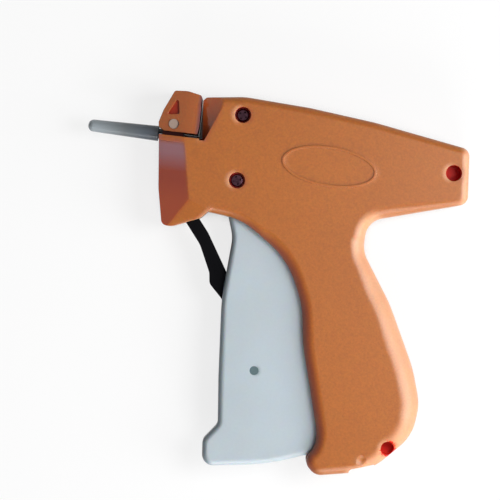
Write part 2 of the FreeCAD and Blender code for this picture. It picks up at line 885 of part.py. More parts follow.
def needle_latch():
    """The block that locks the needle's foot, with the clip's groove in its rear side."""
    corners = [
        (x * latch_length, y * latch_height, r * latch_height) for x, y, r in latch_outline_shares
    ]
    body = prism(corners, -latch_half_width, latch_half_width)
    foot = disc(latch_pin_place, latch_front_radius, -latch_half_width, latch_half_width)
    rear = disc(latch_pin_place, latch_length - latch_pin_x, -latch_half_width, latch_half_width)
    above = block(
        (-latch_length, 2 * latch_length),
        (latch_pin_y, 2 * latch_height),
        (-latch_half_width, latch_half_width),
    )
    body = body.common(foot.fuse([rear, above]))
    room = disc(latch_pin_place, ear_radius + moving_gap, -latch_room_half, latch_room_half)
    under = block(
        (-latch_length, latch_pin_x + ear_radius + moving_gap),
        (-latch_height, latch_pin_y + ear_radius + moving_gap),
        (-latch_room_half, latch_room_half),
    )
    groove = block(
        (hub_rear, latch_length + overrun),
        (-latch_height, 2 * latch_height),
        (-clip_groove_half, clip_groove_half),
    )
    mark_corners = [
        (x * latch_length, y * latch_height, latch_mark_corner) for x, y in latch_mark_shares
    ]
    mark = prism(mark_corners, 0, latch_half_width).common(latch_slope(latch_mark_depth))
    hole = disc(latch_pin_place, latch_pin_radius + running_fit, 0, half_thickness)
    tab = block(
        (latch_pin_x + latch_pin_radius + moving_gap, latch_pin_x + ear_radius + 2 * moving_gap),
        (hub_top + seat_gap, latch_pin_y + ear_radius + 2 * moving_gap),
        (-latch_tab_half, latch_tab_half),
    )
    body = body.cut([room, under]).fuse(tab)
    # the lower front corner makes room for the ledge when the latch is open
    ledge = block(
        (-latch_length, latch_length),
        (-latch_height, casing_outline_shares[2][1] * casing_height + latch_ledge_gap),
        (-half_thickness, half_thickness),
    )
    ledge.rotate(latch_pin_place, axis_z, -latch_opening_angle)
    sides = both_sides(latch_slope(0))
    return body.cut([groove, ledge, sides, both_sides(mark), both_sides(hole)])


def latch_pin():
    reach = latch_half_width - latch_bevel_depth / 2
    return disc(latch_pin_place, latch_pin_radius, -reach, reach)


def needle():
    """Slotted steel tube with a slanted point."""
    tube = rod_along_x(needle_radius, -needle_tip, needle_root)
    bore = rod_along_x(needle_bore_radius, -needle_tip - overrun, needle_root + overrun)
    slot = block(
        (-needle_tip - overrun, needle_root + overrun),
        (-needle_slot_half, needle_slot_half),
        (0, needle_radius + overrun),
    )
    point_cut = prism([
        (-needle_tip - overrun, -needle_radius, 0),
        (-needle_tip + needle_point_length, -needle_radius - overrun, 0),
        (-needle_tip - overrun, needle_radius, 0),
    ], -needle_radius - overrun, needle_radius + overrun)
    return tube.cut([bore, slot, point_cut])


def needle_hub():
    """Moulded foot of the needle, with the spigot that the cap is pushed on."""
    body = block(
        (hub_front, hub_rear), (-hub_seat_depth + press_gap, hub_top), (-hub_half_width, hub_half_width)
    )
    foot = block(
        (hub_foot_front, hub_foot_rear), (-hub_foot_depth, 0), (-hub_foot_half, hub_foot_half)
    )
    spigot = rod_along_x(hub_spigot_radius, -hub_spigot_length, hub_front)
    solid = body.fuse([foot, spigot])
    bore = rod_along_x(needle_radius + press_gap, -hub_spigot_length - overrun, needle_root)
    rear_bore = rod_along_x(needle_bore_radius, needle_root - overrun, hub_rear + overrun)
    slot = block(
        (-hub_spigot_length - overrun, hub_rear + overrun),
        (-needle_slot_half, needle_slot_half),
        (0, hub_half_width + overrun),
    )
    return solid.cut([bore, rear_bore, slot])


def needle_cap():
    """Round tapered cap over the needle, pushed on the spigot of its foot."""
    base = -cap_base_gap
    tip = base - cap_length
    socket = hub_spigot_radius + running_fit
    bore_tip = cap_tip_radius - cap_wall
    shoulder = point(tip + cap_tip_round, cap_tip_radius)
    slant = cap_tip_round * math.sqrt(0.5)
    on_round = point(
        tip + cap_tip_round - slant, cap_tip_radius - cap_tip_round + slant
    )
    front = point(tip, cap_tip_radius - cap_tip_round)
    places = [
        front,
        point(tip, 0),
        point(tip + cap_wall, 0),
        point(tip + cap_wall, bore_tip),
        point(base - hub_spigot_length, socket),
        point(base, socket),
        point(base, cap_base_radius),
        shoulder,
    ]
    edges = [Part.LineSegment(a, b).toShape() for a, b in zip(places, places[1:])]
    edges.append(Part.Arc(shoulder, on_round, front).toShape())
    return Part.Face(Part.Wire(edges)).revolve(point(0, 0), axis_x, 360)


def blade_outline(gap):
    return [
        (blade_front - gap, blade_top, 0),
        (blade_rear + gap, blade_top, 0),
        (blade_rear + gap, -blade_foot - gap, 0),
        (blade_front - gap, -blade_foot - gap, 0),
    ]


def cutter_blade():
    """Thin blade beside the feed place, with its edge ground on top."""
    low = -blade_side - blade_thickness
    blade = prism(blade_outline(0), low, -blade_side)
    edge = Part.makePolygon([
        point(blade_front - overrun, blade_top, low),
        point(blade_front - overrun, blade_top, low + blade_thickness),
        point(blade_front - overrun, blade_top - blade_bevel, low),
        point(blade_front - overrun, blade_top, low),
    ])
    return blade.cut(Part.Face(edge).extrude(point(blade_rear - blade_front + 2 * overrun, 0)))


def blade_pocket():
    low = blade_side - press_gap
    return prism(blade_outline(press_gap), low, blade_side + blade_thickness + press_gap)


def trigger_bush():
    reach = trigger_half_width + moving_gap - press_gap
    outer = disc(trigger_pivot, bush_outer_radius, -reach, reach)
    return outer.cut(disc(trigger_pivot, bush_bore_radius, -reach - overrun, reach + overrun))


def trigger():
    """Hollow trigger, open to the rear, with its hub, pin holes and spring seat."""
    outline = scaled(trigger_outline_shares)
    solid = prism(outline, -trigger_half_width, trigger_half_width)
    front = [
        edge for edge in solid.Edges
        if edge.firstVertex().Z == edge.lastVertex().Z
        and front_side(edge.CenterOfMass)
    ]
    solid = solid.makeFillet(trigger_edge, front)
    inside = prism(
        inset(outline[::-1], trigger_wall),
        trigger_wall - trigger_half_width,
        trigger_half_width - trigger_wall,
    )
    rear_open = prism(
        sharp(scaled(trigger_rear_shares)),
        trigger_wall - trigger_half_width,
        trigger_half_width - trigger_wall,
    )
    solid = solid.cut(inside.fuse(rear_open))
    hub = disc(trigger_pivot, trigger_hub_radius, -trigger_half_width, trigger_half_width)
    foot, along = spring_places()
    across = point(-along.y, along.x)
    middle = foot - along * spring_seat_gap
    rib_path = [middle - across * trigger_lug_radius, middle + across * trigger_lug_radius]
    rib_path = [place - along * (trigger_wall / 2) for place in rib_path]
    rib = prism(thick_line(rib_path, trigger_wall / 2, 0), -trigger_half_width, trigger_half_width)
    spigot = Part.makeCylinder(
        spring_spigot_radius, spring_spigot_length + trigger_wall, middle - along * trigger_wall, along
    )
    solid = solid.fuse([hub, rib, spigot])
    window_y = trigger_window_y_share * casing_height
    window = block(
        (0, trigger_pin.x),
        (window_y - trigger_window_half, window_y + trigger_window_half),
        (-feed_gate_half, feed_gate_half),
    )
    outward = (drive_pin_place - trigger_pivot).normalize()
    inner_place = drive_pin_place - outward * drive_slot_gap
    outer_place = trigger_pivot + outward * (pivot_line.Length + lower_arm + drive_slot_gap)
    reach = trigger_half_width + overrun
    drive_slot = slot_shape(
        inner_place, outer_place, drive_pin_radius + drive_slot_gap, -reach, reach
    )
    bore = disc(trigger_pivot, bush_outer_radius + running_fit, -reach, reach)
    pin_hole = disc(trigger_pin, trigger_pin_radius + press_gap, -reach, reach)
    return solid.cut([window, drive_slot, bore, pin_hole])


def front_side(place):
    """Whether a place lies on the trigger's front or bottom outline."""
    limit = on_casing(*trigger_front_limit_shares)
    below = place.y < on_casing(*trigger_outline_shares[1][:2]).y
    return below and (place.x < limit.x or place.y < limit.y)


def trigger_cross_pin():
    return disc(trigger_pin, trigger_pin_radius, -trigger_half_width, trigger_half_width)


def drive_lever():
    """Lever of two cheeks outside the trigger, joined by a bridge, with forks for the slider pin."""
    pin_place = point(slider_rest_x, 0)
    along = (pin_place - lever_pivot).normalize()
    aside = point(-along.y, along.x)
    height = -lever_pivot.y
    tip = lever_pivot + along * (height + lever_fork_reach)
    knee = lever_pivot + along * (height / 2) + aside * lever_bow
    throat = lever_pivot + along * (height - 2 * lever_fork_half)
    low, high = lever_inside, lever_outside
    arm = prism(thick_line([lever_pivot, knee, throat], lever_arm_half, 0), low, high)
    fork_path = [throat - along * lever_fork_half, tip]
    fork = prism(thick_line(fork_path, lever_fork_half, lever_edge), low, high)
    lower_path = [lever_pivot, drive_pin_place]
    lower = prism(thick_line(lower_path, lever_arm_half, 0), low, high)
    hub = disc(lever_pivot, lever_hub_radius, low, high)
    end = disc(drive_pin_place, lever_end_radius, low, high)
    cheek = arm.fuse([fork, lower, hub, end])
    slot_start = lever_pivot + along * (height - moving_gap)
    slot = slot_shape(slot_start, tip + along * lever_fork_reach, lever_slot_half, 0, half_thickness)
    bore = disc(lever_pivot, lever_bore_radius, 0, half_thickness)
    pin_hole = disc(drive_pin_place, drive_pin_radius + press_gap, 0, half_thickness)
    cheek = cheek.cut([slot, bore, pin_hole])
    middle = lever_pivot + along * (height * lever_bridge_share)
    middle += aside * (lever_bow * lever_bridge_bow_share)
    ends = [middle - along * (lever_bridge_length / 2), middle + along * (lever_bridge_length / 2)]
    bridge = prism(
        thick_line(ends, lever_bridge_thickness / 2, 0), -lever_inside - overrun, lever_inside + overrun
    )
    return both_sides(cheek).fuse(bridge)


def drive_pin():
    return disc(drive_pin_place, drive_pin_radius, -lever_outside, lever_outside)


def slider():
    """Block that runs on the two rails."""
    x = (slider_rest_x - slider_half_length, slider_rest_x + slider_half_length)
    body = block(
        x, (-slider_half_height, slider_half_height), (-slider_half_width, slider_half_width)
    )
    upright = [e for e in body.Edges if e.firstVertex().X == e.lastVertex().X
               and e.firstVertex().Z == e.lastVertex().Z]
    body = body.makeChamfer(slider_edge, upright)
    groove_half = slider_rail_half + slider_rail_gap
    cut_x = (x[0] - overrun, x[1] + overrun)
    grooves = []
    for sign in (-1, 1):
        ends = sorted([
            sign * (slider_half_height - slider_rail_depth), sign * (slider_half_height + overrun)
        ])
        grooves.append(block(cut_x, ends, (-groove_half, groove_half)))
    hole = disc(
        point(slider_rest_x, 0), slider_pin_radius + press_gap,
        -half_thickness, half_thickness,
    )
    socket = rod_along_x(rod_radius + press_gap, x[0] - overrun, x[0] + rod_root_length)
    return body.cut(grooves + [hole, socket])


def slider_pin():
    return disc(point(slider_rest_x, 0), slider_pin_radius, -lever_outside, lever_outside)


def push_rod():
    root = slider_rest_x - slider_half_length + rod_root_length
    return rod_along_x(rod_radius, rod_tip_x, root)


def feed_lever():
    """Bent lever from the wheel's shaft down to the pin in the trigger."""
    along = pin_from_wheel / pin_from_wheel.Length
    fired_place = wheel_centre + along * fired_pin_from_wheel.Length
    low, high = -feed_lever_half, feed_lever_half
    arm = prism(scaled(feed_lever_shares), low, high)
    ends = [trigger_pin - along * (2 * feed_lever_tail), fired_place + along * feed_lever_tail]
    frame = prism(thick_line(ends, feed_frame_half, feed_frame_half / 2), low, high)
    hub = disc(wheel_centre, feed_lever_hub_radius, low, high)
    pin_place = pawl_pin_place()
    ear = prism(thick_line([wheel_centre, pin_place], pawl_ear_radius, 0), low, high)
    ear = ear.fuse(disc(pin_place, pawl_ear_radius, low, high))
    slot = slot_shape(
        trigger_pin, fired_place, trigger_pin_radius + feed_slot_gap, low - overrun, high + overrun
    )
    bore = disc(wheel_centre, wheel_shaft_radius + running_fit, low - overrun, high + overrun)
    pin_hole = disc(pin_place, pawl_pin_radius + press_gap, low - overrun, high + overrun)
    return arm.fuse([frame, hub, ear]).cut([slot, bore, pin_hole])


def pawl_pin_place():
    return wheel_centre + turned(point(pawl_arm, 0), pawl_angle)


def pawl_pin():
    return disc(pawl_pin_place(), pawl_pin_radius, -wheel_outer_side, feed_lever_half)


def feed_pawl():
    """Small pawl whose tip lies between two teeth of the wheel."""
    place = pawl_pin_place()
    tip_radius = wheel_root_radius + seat_gap
    tip = wheel_centre + turned(point(tip_radius, 0), pawl_tip_angle - pawl_tip_lag)
    along = (tip - place).normalize()
    across = point(-along.y, along.x) * (pawl_radius / 2)
    low = -wheel_outer_side + seat_gap
    high = -wheel_inner_side
    finger = prism([
        (place.x + across.x, place.y + across.y, 0),
        (tip.x, tip.y, 0),
        (place.x - across.x, place.y - across.y, 0),
    ], low, high)
    body = disc(place, pawl_radius, low, high).fuse(finger)
    return body.cut(disc(place, pawl_pin_radius + running_fit, low - overrun, high + overrun))


def feed_wheel():
    """Ratchet wheel that moves the clip's runner one place at each stroke."""
    pitch = 360 / wheel_tooth_count
    corners = []
    for tooth in range(wheel_tooth_count):
        angle = pawl_tip_angle + tooth * pitch
        for radius in (wheel_root_radius, wheel_outer_radius):
            place = wheel_centre + turned(point(radius, 0), angle)
            corners.append((place.x, place.y, 0))
    low, high = -wheel_outer_side, -wheel_inner_side
    body = prism(corners, low, high)
    ring = disc(wheel_centre, wheel_root_radius - wheel_web_side, low - overrun, low + wheel_web_side)
    ring = ring.cut(disc(wheel_centre, wheel_hub_radius, low - overrun, low + wheel_web_side))
    bore = disc(wheel_centre, wheel_shaft_radius + running_fit, low - overrun, high + overrun)
    return body.cut([ring, bore])


def feed_wheel_shaft():
    return disc(
        wheel_centre, wheel_shaft_radius, -nose_room_right - shaft_reach, nose_room_left + shaft_reach
    )


def check_spring():
    """Leaf from the foot of the nose that leans on the wheel's teeth from the front."""
    foot = point(nose_room_front_foot + check_spring_thickness, nose_room_foot + seat_gap)
    reach = wheel_outer_radius + check_spring_gap + check_spring_thickness / 2
    foot_line = foot - wheel_centre
    foot_angle = math.degrees(math.atan2(foot_line.y, foot_line.x))
    contact_angle = foot_angle - math.degrees(math.acos(reach / foot_line.Length))
    contact = wheel_centre + turned(point(reach, 0), contact_angle)
    middle = (wheel_inner_side + wheel_outer_side) / 2
    return prism(
        thick_line([foot, contact], check_spring_thickness / 2, 0),
        -middle - check_spring_width / 2,
        -middle + check_spring_width / 2,
    )


def clip_guide():
    """Strip behind the clip's runner, opposite the wheel."""
    front_top = clip_channel_x(guide_top) + slit_width
    front_foot = clip_channel_x(guide_foot) + slit_width
    rear = nose_room_rear - press_gap
    corners = [
        (front_top, guide_top, 0),
        (rear, guide_top, 0),
        (rear, guide_foot, 0),
        (front_foot, guide_foot, 0),
    ]
    return prism(corners, -nose_room_right + press_gap, -wheel_inner_side)


def case_screws():
    """The two cross-head screws that hold the halves together."""
    upper = screw(upper_screw, upper_screw_floor, screw_depth)
    lower = screw(trigger_pivot, pivot_screw_floor, pivot_screw_depth)
    return Part.makeCompound([upper, lower])


def screw(place, floor, depth):
    head = disc(place, screw_head_radius, floor + press_gap, floor + screw_head_height)
    shank = disc(place, screw_radius, -depth, floor + overrun)
    top = floor + screw_head_height
    deep = (top - screw_slot_depth, top + overrun)
    reach = screw_head_radius * screw_cross_share
    wide = (place.x - reach, place.x + reach)
    tall = (place.y - reach, place.y + reach)
    thin_x = (place.x - screw_slot_half, place.x + screw_slot_half)
    thin_y = (place.y - screw_slot_half, place.y + screw_slot_half)
    cross = block(wide, thin_y, deep).fuse(block(thin_x, tall, deep))
    return head.fuse(shank).cut(cross)


def return_spring():
    """Coil between the trigger and the rear wall of the handle."""
    foot, along = spring_places()
    quarter_turns = spring_turn_count * quarter_count
    rise = (spring_length - 2 * spring_wire_radius) / quarter_turns
    edges = []

    def on_coil(quarters):
        angle = 2 * math.pi * quarters / quarter_count
        return point(
            spring_radius * math.cos(angle),
            spring_radius * math.sin(angle),
            spring_wire_radius + rise * quarters,
        )

    for number in range(quarter_turns):
        edges.append(Part.Arc(on_coil(number), on_coil(number + 0.5), on_coil(number + 1)).toShape())
    path = Part.Wire(edges)
    start = edges[0].tangentAt(edges[0].FirstParameter)
    profile = Part.Wire(Part.makeCircle(spring_wire_radius, on_coil(0), start))
    coil = path.makePipeShell([profile], True, False)
    least_gap = rise * quarter_count - 2 * spring_wire_radius
    print("return spring: least gap between turns", round(least_gap, 2), "mm")
    coil.rotate(point(0, 0), FreeCAD.Vector(0, 1, 0), 90)
    coil.rotate(point(0, 0), axis_z, spring_angle)
    coil.translate(foot)
    return coil


pieces = {
    "left_shell": left_shell,
    "right_shell": right_shell,
    "case_screws": case_screws,
    "needle_latch": needle_latch,
    "latch_pin": latch_pin,
    "needle": needle,
    "needle_hub": needle_hub,
    "needle_cap": needle_cap,
    "cutter_blade": cutter_blade,
    "trigger": trigger,
    "trigger_bush": trigger_bush,
    "trigger_cross_pin": trigger_cross_pin,
    "drive_lever": drive_lever,
    "drive_pin": drive_pin,
    "slider": slider,
    "slider_pin": slider_pin,
    "push_rod": push_rod,
    "feed_lever": feed_lever,
    "feed_pawl": feed_pawl,
    "pawl_pin": pawl_pin,
    "feed_wheel": feed_wheel,
    "feed_wheel_shaft": feed_wheel_shaft,
    "check_spring": check_spring,
    "clip_guide": clip_guide,
    "return_spring": return_spring,
}

# The origin is under the middle of the finished gun, on the face that it lies on.
shapes = {name: make() for name, make in pieces.items()}
extent = Part.makeCompound(list(shapes.values())).optimalBoundingBox()
to_origin = point(-extent.Center.x, -extent.Center.y, half_thickness)

os.makedirs("parts", exist_ok=True)
for name, shape in shapes.items():
    shape.translate(to_origin)
    shape.exportStep("parts/" + name + ".step")
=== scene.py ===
"""Looks of a garment tag attacher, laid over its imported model."""

import json
import math

import bmesh
import bpy
from mathutils import Matrix, Vector


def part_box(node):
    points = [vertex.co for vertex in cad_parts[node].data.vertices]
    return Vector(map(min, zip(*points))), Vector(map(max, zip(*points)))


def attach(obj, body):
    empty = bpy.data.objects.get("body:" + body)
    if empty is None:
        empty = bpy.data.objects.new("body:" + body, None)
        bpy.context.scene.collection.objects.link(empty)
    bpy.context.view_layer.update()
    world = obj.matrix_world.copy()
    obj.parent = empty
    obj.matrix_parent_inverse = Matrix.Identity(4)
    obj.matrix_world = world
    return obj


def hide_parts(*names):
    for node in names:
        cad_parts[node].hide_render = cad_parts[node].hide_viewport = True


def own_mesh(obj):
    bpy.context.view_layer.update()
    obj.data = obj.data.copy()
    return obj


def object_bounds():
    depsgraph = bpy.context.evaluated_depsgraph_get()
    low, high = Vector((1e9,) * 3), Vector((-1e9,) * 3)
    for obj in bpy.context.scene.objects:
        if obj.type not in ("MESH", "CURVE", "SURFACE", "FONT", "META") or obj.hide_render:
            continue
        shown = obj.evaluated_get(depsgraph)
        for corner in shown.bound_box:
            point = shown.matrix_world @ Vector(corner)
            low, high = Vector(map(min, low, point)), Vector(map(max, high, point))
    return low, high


bl_info = {
    "name": "Garment tag attacher",
    "version": (1, 0, 0),
    "blender": (4, 5, 0),
    "location": "View3D > Sidebar > Tag attacher",
    "description": "Casing, trigger, needle, latch and cap of a garment tag attacher",
    "category": "Object",
}

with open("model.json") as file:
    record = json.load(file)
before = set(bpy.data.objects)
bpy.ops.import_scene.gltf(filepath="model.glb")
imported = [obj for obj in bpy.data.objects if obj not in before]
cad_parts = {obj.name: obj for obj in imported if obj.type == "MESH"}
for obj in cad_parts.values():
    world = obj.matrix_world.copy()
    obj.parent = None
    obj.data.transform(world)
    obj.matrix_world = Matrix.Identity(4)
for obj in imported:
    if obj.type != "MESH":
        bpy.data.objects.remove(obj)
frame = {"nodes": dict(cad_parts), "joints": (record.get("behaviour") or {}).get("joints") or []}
packed_low, packed_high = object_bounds()
joints = {joint["name"]: joint for joint in frame["joints"]}

MILLIMETRE = 0.001
CASING_LOW, CASING_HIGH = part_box("left_shell")
LATCH_LOW, LATCH_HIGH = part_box("needle_latch")
CAP_LOW, CAP_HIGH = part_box("needle_cap")
SCREW_LOW, SCREW_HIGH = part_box("case_screws")
TRIGGER_HINGE = Vector(joints["trigger_hinge"]["pos_m"])
# The middle of the whole box lies 0.2 mm above the plane where the halves meet.
MIDDLE_Z = (packed_low.z + packed_high.z) / 2
MERGE_DISTANCE = 2e-6
FLAT_ANGLE = math.radians(0.4)
CREASE_ANGLE = math.radians(4.0)
CREST_ANGLE = math.radians(20.0)
SHARP_ANGLE = math.radians(28.0)
LARGE_FACE = 8 * MILLIMETRE ** 2
WHITE = (1.0, 1.0, 1.0)
PATCH_SIZE = 30 * MILLIMETRE
# Reach of the painted shade in crevices.
CREVICE_REACH = 3 * MILLIMETRE
GLOW_REACH = 3 * MILLIMETRE
GLOW_COLOURS = (1.0, 0.25, 0.08)
NORMAL_REACH = 2.5 * MILLIMETRE
MARK_LEAST_DEPTH = 0.4 * MILLIMETRE
CREST_LEAST_RISE = 8 * MILLIMETRE
SLOT_LEAST_DEPTH = 3 * MILLIMETRE
SLOT_UNDER_LATCH = 4 * MILLIMETRE


# Settings

def length(name, default, description):
    return bpy.props.FloatProperty(
        name=name, description=description, default=default * MILLIMETRE, min=0.0, unit="LENGTH", precision=5
    )


def colour(name, default, description):
    return bpy.props.FloatVectorProperty(
        name=name, description=description, default=default, size=3, min=0.0, max=1.0, subtype="COLOR"
    )


def share(name, default, description):
    return bpy.props.FloatProperty(
        name=name, description=description, default=default, min=0.0, max=1.0, subtype="FACTOR"
    )


def angle(name, default, description):
    return bpy.props.FloatProperty(
        name=name, description=description, default=math.radians(default), subtype="ANGLE"
    )


def power(name, default, description):
    return bpy.props.FloatProperty(name=name, description=description, default=default, min=0.0)


class CasingSettings(bpy.types.PropertyGroup):
    """Sizes and colours of the moulded casing and the latch."""

    grained: colour("Grained plastic", (0.345, 0.094, 0.004), "Colour of the grained orange plastic")
    smooth: colour("Smooth plastic", (0.34, 0.082, 0.010), "Colour of the smooth orange plastic")
    entry: colour("Clip entry", (0.32, 0.062, 0.010), "Colour of the smooth faces beside the clip's slit")
    # Painted light on the glossy nose: a painted reflection at its top, painted shade at half height and at
    # its foot, over the deeper tone of polished plastic.
    nose_painted_reflection: colour("Gloss above", (0.31, 0.13, 0.15), "Colour of the glossy nose at its top")
    nose_painted_shade: colour("Gloss amid", (0.30, 0.030, 0.002), "Colour of the glossy nose at half height")
    nose_foot_painted_shade: colour("Gloss below", (0.36, 0.045, 0.002), "Colour of the glossy nose at its foot")
    # Painted shade: the orange darkens to this in deep gaps.
    shade: colour("Crevice", (0.22, 0.05, 0.05), "How much of the orange stays in deep gaps")
    # Painted shade: the forward edges keep this share of the orange.
    front: colour("Front edges", (0.72, 0.42, 0.34), "How much of the orange stays on forward edges")
    # Painted highlight: the rear edges are painted pale where light falls on them.
    back: colour("Rear edges", (0.60, 0.30, 0.16), "Colour of the edges at the rear, painted pale as a highlight")
    # Width of the painted highlight on the rear edges and of the painted shade on the front edges.
    painted_edge_width: length("Painted edge width", 3.5, "Width of the pale rear edges and the dark front edges")
    # Painted shade: near black deep in the slot under the latch.
    slot: colour("Latch slot", (0.035, 0.006, 0.006), "Colour deep in the slot under the latch")
    # Painted shade: the latch darkens to this at its rear edges.
    rear: colour("Latch rear", (0.10, 0.018, 0.022), "Colour of the latch's rear edges")
    # Painted glow: red light through the plastic down in the wells of the pegs.
    well: colour("Peg well", (0.62, 0.016, 0.006), "Colour down in the wells of the pegs")
    # Painted shade: dark red down in the wells of the screws.
    screw_well: colour("Screw well", (0.50, 0.020, 0.015), "Colour down in the wells of the screws")
    mark: colour("Mark", (0.30, 0.022, 0.006), "Colour of the sunk mark in the latch")
    grain_size: length("Grain size", 0.75, "Distance between the grains of the moulded surface")
    grain_depth: length("Grain depth", 0.03, "Depth of the moulded grain")
    grain_tone: share("Grain tone", 0.13, "How much the grain changes the colour")
    roughness: share("Roughness", 0.42, "Roughness of the grained plastic")
    edge: length("Edge rounding", 0.25, "Rounding of the sharp moulded edges")
    latch_edge: length("Latch rounding", 0.45, "Rounding of the latch's edges")
    latch_crest: length("Latch crest", 2.4, "Rounding of the crest on the latch's sides")
    # Length of the painted shade at the latch's rear.
    latch_rear: length("Latch rear", 2.0, "Length over which the latch darkens towards its rear")
    nose_length: length("Nose length", 27.5, "Length of the nose and the clip entry with their smooth faces")
    gloss_reach: length("Gloss foot", 51.5, "How far the glossy nose's foot lies below the casing's top")
    gloss_drop: length("Gloss top", 16.5, "How far the glossy nose's top lies below the casing's top")
    well_radius: length("Well radius", 3.3, "Radius in which faces belong to a well")
    well_lip: length("Well lip", 0.7, "Faces of a well lie this far under the casing's side")
    rear_peg_x: length("Rear peg, behind the middle", 69.05, "Place of the rear peg along the barrel")
    rear_peg_y: length("Rear peg, above the middle", 52.91, "Height of the rear peg")
    heel_peg_x: length("Heel peg, behind the middle", 56.40, "Place of the heel's peg along the barrel")
    heel_peg_y: length("Heel peg, below the middle", 57.29, "How far the heel's peg lies below the middle")


class TriggerSettings(bpy.types.PropertyGroup):
    """Sizes and colours of the trigger and the feed lever."""

    plastic: colour("Trigger plastic", (0.42, 0.485, 0.53), "Colour of the pale trigger")
    # Painted shade: the pale colour darkens to this in deep gaps.
    shade: colour("Crevice", (0.30, 0.36, 0.42), "How much of the pale colour stays in deep gaps")
    pin: colour("Pin end", (0.075, 0.12, 0.13), "Colour of the pin across the trigger")
    # Painted shade: the forward edges keep this share of the pale colour.
    front: colour("Front edges", (0.50, 0.53, 0.55), "How much of the pale colour stays on forward edges")
    lever: colour("Lever plastic", (0.003, 0.003, 0.004), "Colour of the feed lever")
    edge: length("Edge rounding", 0.35, "Rounding of the trigger's sharp edges")
    lever_edge: length("Lever rounding", 0.6, "Rounding of the feed lever's edges")


class CapSettings(bpy.types.PropertyGroup):
    """Sizes and colours of the needle's cap."""

    smoke_tip: colour("Cap tip", (0.40, 0.45, 0.48), "Colour of the smoky cap at its tip")
    # Painted shade: the cap darkens to this at its root.
    smoke_and_shade_root: colour("Cap root", (0.13, 0.155, 0.19), "Colour of the smoky cap at its root")
    clearness: share("Clearness", 0.4, "How much light passes through the cap")
    sides: bpy.props.IntProperty(name="Sides", description="Sides of the round cap", default=72, min=12)
    base_radius: length("Base radius", 3.0, "Outer radius of the cap at its base")
    tip_radius: length("Tip radius", 2.4, "Outer radius of the cap before its rounded tip")
    tip_round: length("Tip rounding", 2.2, "Rounding of the cap's tip")
    bore_radius: length("Bore radius", 1.6, "Radius of the room for the needle")
    socket_radius: length("Socket radius", 2.05, "Radius of the socket that fits the needle's foot")
    socket_length: length("Socket length", 4.0, "Length of that socket")
    lip: length("Lip", 0.2, "Bevel on the edges of the cap's base")


class ScrewSettings(bpy.types.PropertyGroup):
    """Sizes and colour of the cross-head screws."""

    # Painted shade: the screws are dark as they show deep in their wells.
    metal: colour("Screw metal", (0.055, 0.026, 0.036), "Colour of the screws, dark with painted shade")
    sides: bpy.props.IntProperty(name="Screw sides", description="Sides of a screw", default=48, min=12)
    seat_radius: length("Seat radius", 2.8, "Radius of a packed screw head")
    head_radius: length("Head radius", 2.45, "Radius of a screw head")
    head_height: length("Head height", 2.15, "Height of a screw head")
    dome: length("Dome", 0.55, "Height of the head's rounded rim")
    cross_reach: length("Cross reach", 1.7, "Half length of the cross in the head")
    cross_half: length("Cross half width", 0.36, "Half width of the cross in the head")
    cross_depth: length("Cross depth", 1.1, "Depth of the cross in the head")
    shank_radius: length("Shank radius", 1.45, "Radius over the shank's thread")
    core_radius: length("Core radius", 1.15, "Radius of the shank under its thread")
    pitch: length("Pitch", 1.0, "Distance between the ridges of the thread")
    upper_drop: length("Upper screw's drop", 2.6, "How much lower the upper screw's head lies")
    upper_rise: length("Upper screw's rise", 2.6, "How much higher the upper screw's point lies")
    lower_turn: angle("Lower screw's turn", 20.0, "Angle of the cross in the lower screw")
    upper_turn: angle("Upper screw's turn", 62.0, "Angle of the cross in the upper screw")


class InsideSettings(bpy.types.PropertyGroup):
    """Colours of the needle and the parts inside, and the sizes of the return spring."""

    # Painted shade: the blade is dark where it lies in the slot under the latch.
    blade: colour("Blade steel", (0.10, 0.085, 0.09), "Colour of the cutter blade, dark with painted shade")
    steel: colour("Steel", (0.55, 0.55, 0.57), "Colour of the needle and the metal parts")
    pin: colour("Latch pin", (0.30, 0.22, 0.18), "Colour of the latch pin's end")
    white: colour("Natural plastic", (0.78, 0.76, 0.68), "Colour of the moving parts inside")
    foot: colour("Needle foot", (0.02, 0.02, 0.022), "Colour of the needle's moulded foot")
    wire: length("Wire radius", 0.5, "Radius of the return spring's wire")
    coil: length("Coil radius", 3.9, "Radius of the return spring to the middle of its wire")
    turns: bpy.props.FloatProperty(
        name="Turns", description="Turns of the return spring", default=9.0, min=1.0
    )
    spring_length: length("Spring length", 35.0, "Length of the return spring at rest")
    fixed_x: length("Spring end, behind the middle", 59.04, "Place of the spring's fixed end")
    fixed_y: length("Spring end, below the middle", 26.51, "Drop of the spring's fixed end")
    direction: angle("Spring direction", 34.62, "Direction of the spring from the trigger")
    squeezed: share("Squeezed share", 0.30, "Share of its length that the squeezed spring keeps")


class StageSettings(bpy.types.PropertyGroup):
    """Camera, light and floor."""

    roll: angle("Roll", 7.0, "Roll of the camera")
    distance: bpy.props.FloatProperty(
        name="Distance", description="Height of the camera", default=1.3, unit="LENGTH"
    )
    view_width: length("View width", 197.5, "Width of the view at the gun")
    sensor: length("Sensor", 36.0, "Width of the camera's sensor")
    aim_x: length("Aim before the middle", 6.48, "How far the view's centre lies before the origin")
    aim_y: length("Aim above the middle", 13.35, "How far the view's centre lies above the origin")
    window: power("Window", 12.0, "Power of the light beside the gun")
    front: power("Front", 6.5, "Power of the light before the gun")
    key: power("Key", 1.7, "Power of the near light beside the gun")
    surround: power("Surround", 0.08, "Strength of the light all round")
    shadow: share("Shadow", 0.2, "How much of the floor's brightness comes from the lamps")
    # Reach of the painted contact shadow on the floor.
    contact: length("Contact", 8.0, "Reach of the dark under and beside what stands on the floor")


# Meshes

def new_piece(name, mesh):
    piece = bpy.data.objects.new(name, mesh)
    bpy.context.scene.collection.objects.link(piece)
    return piece


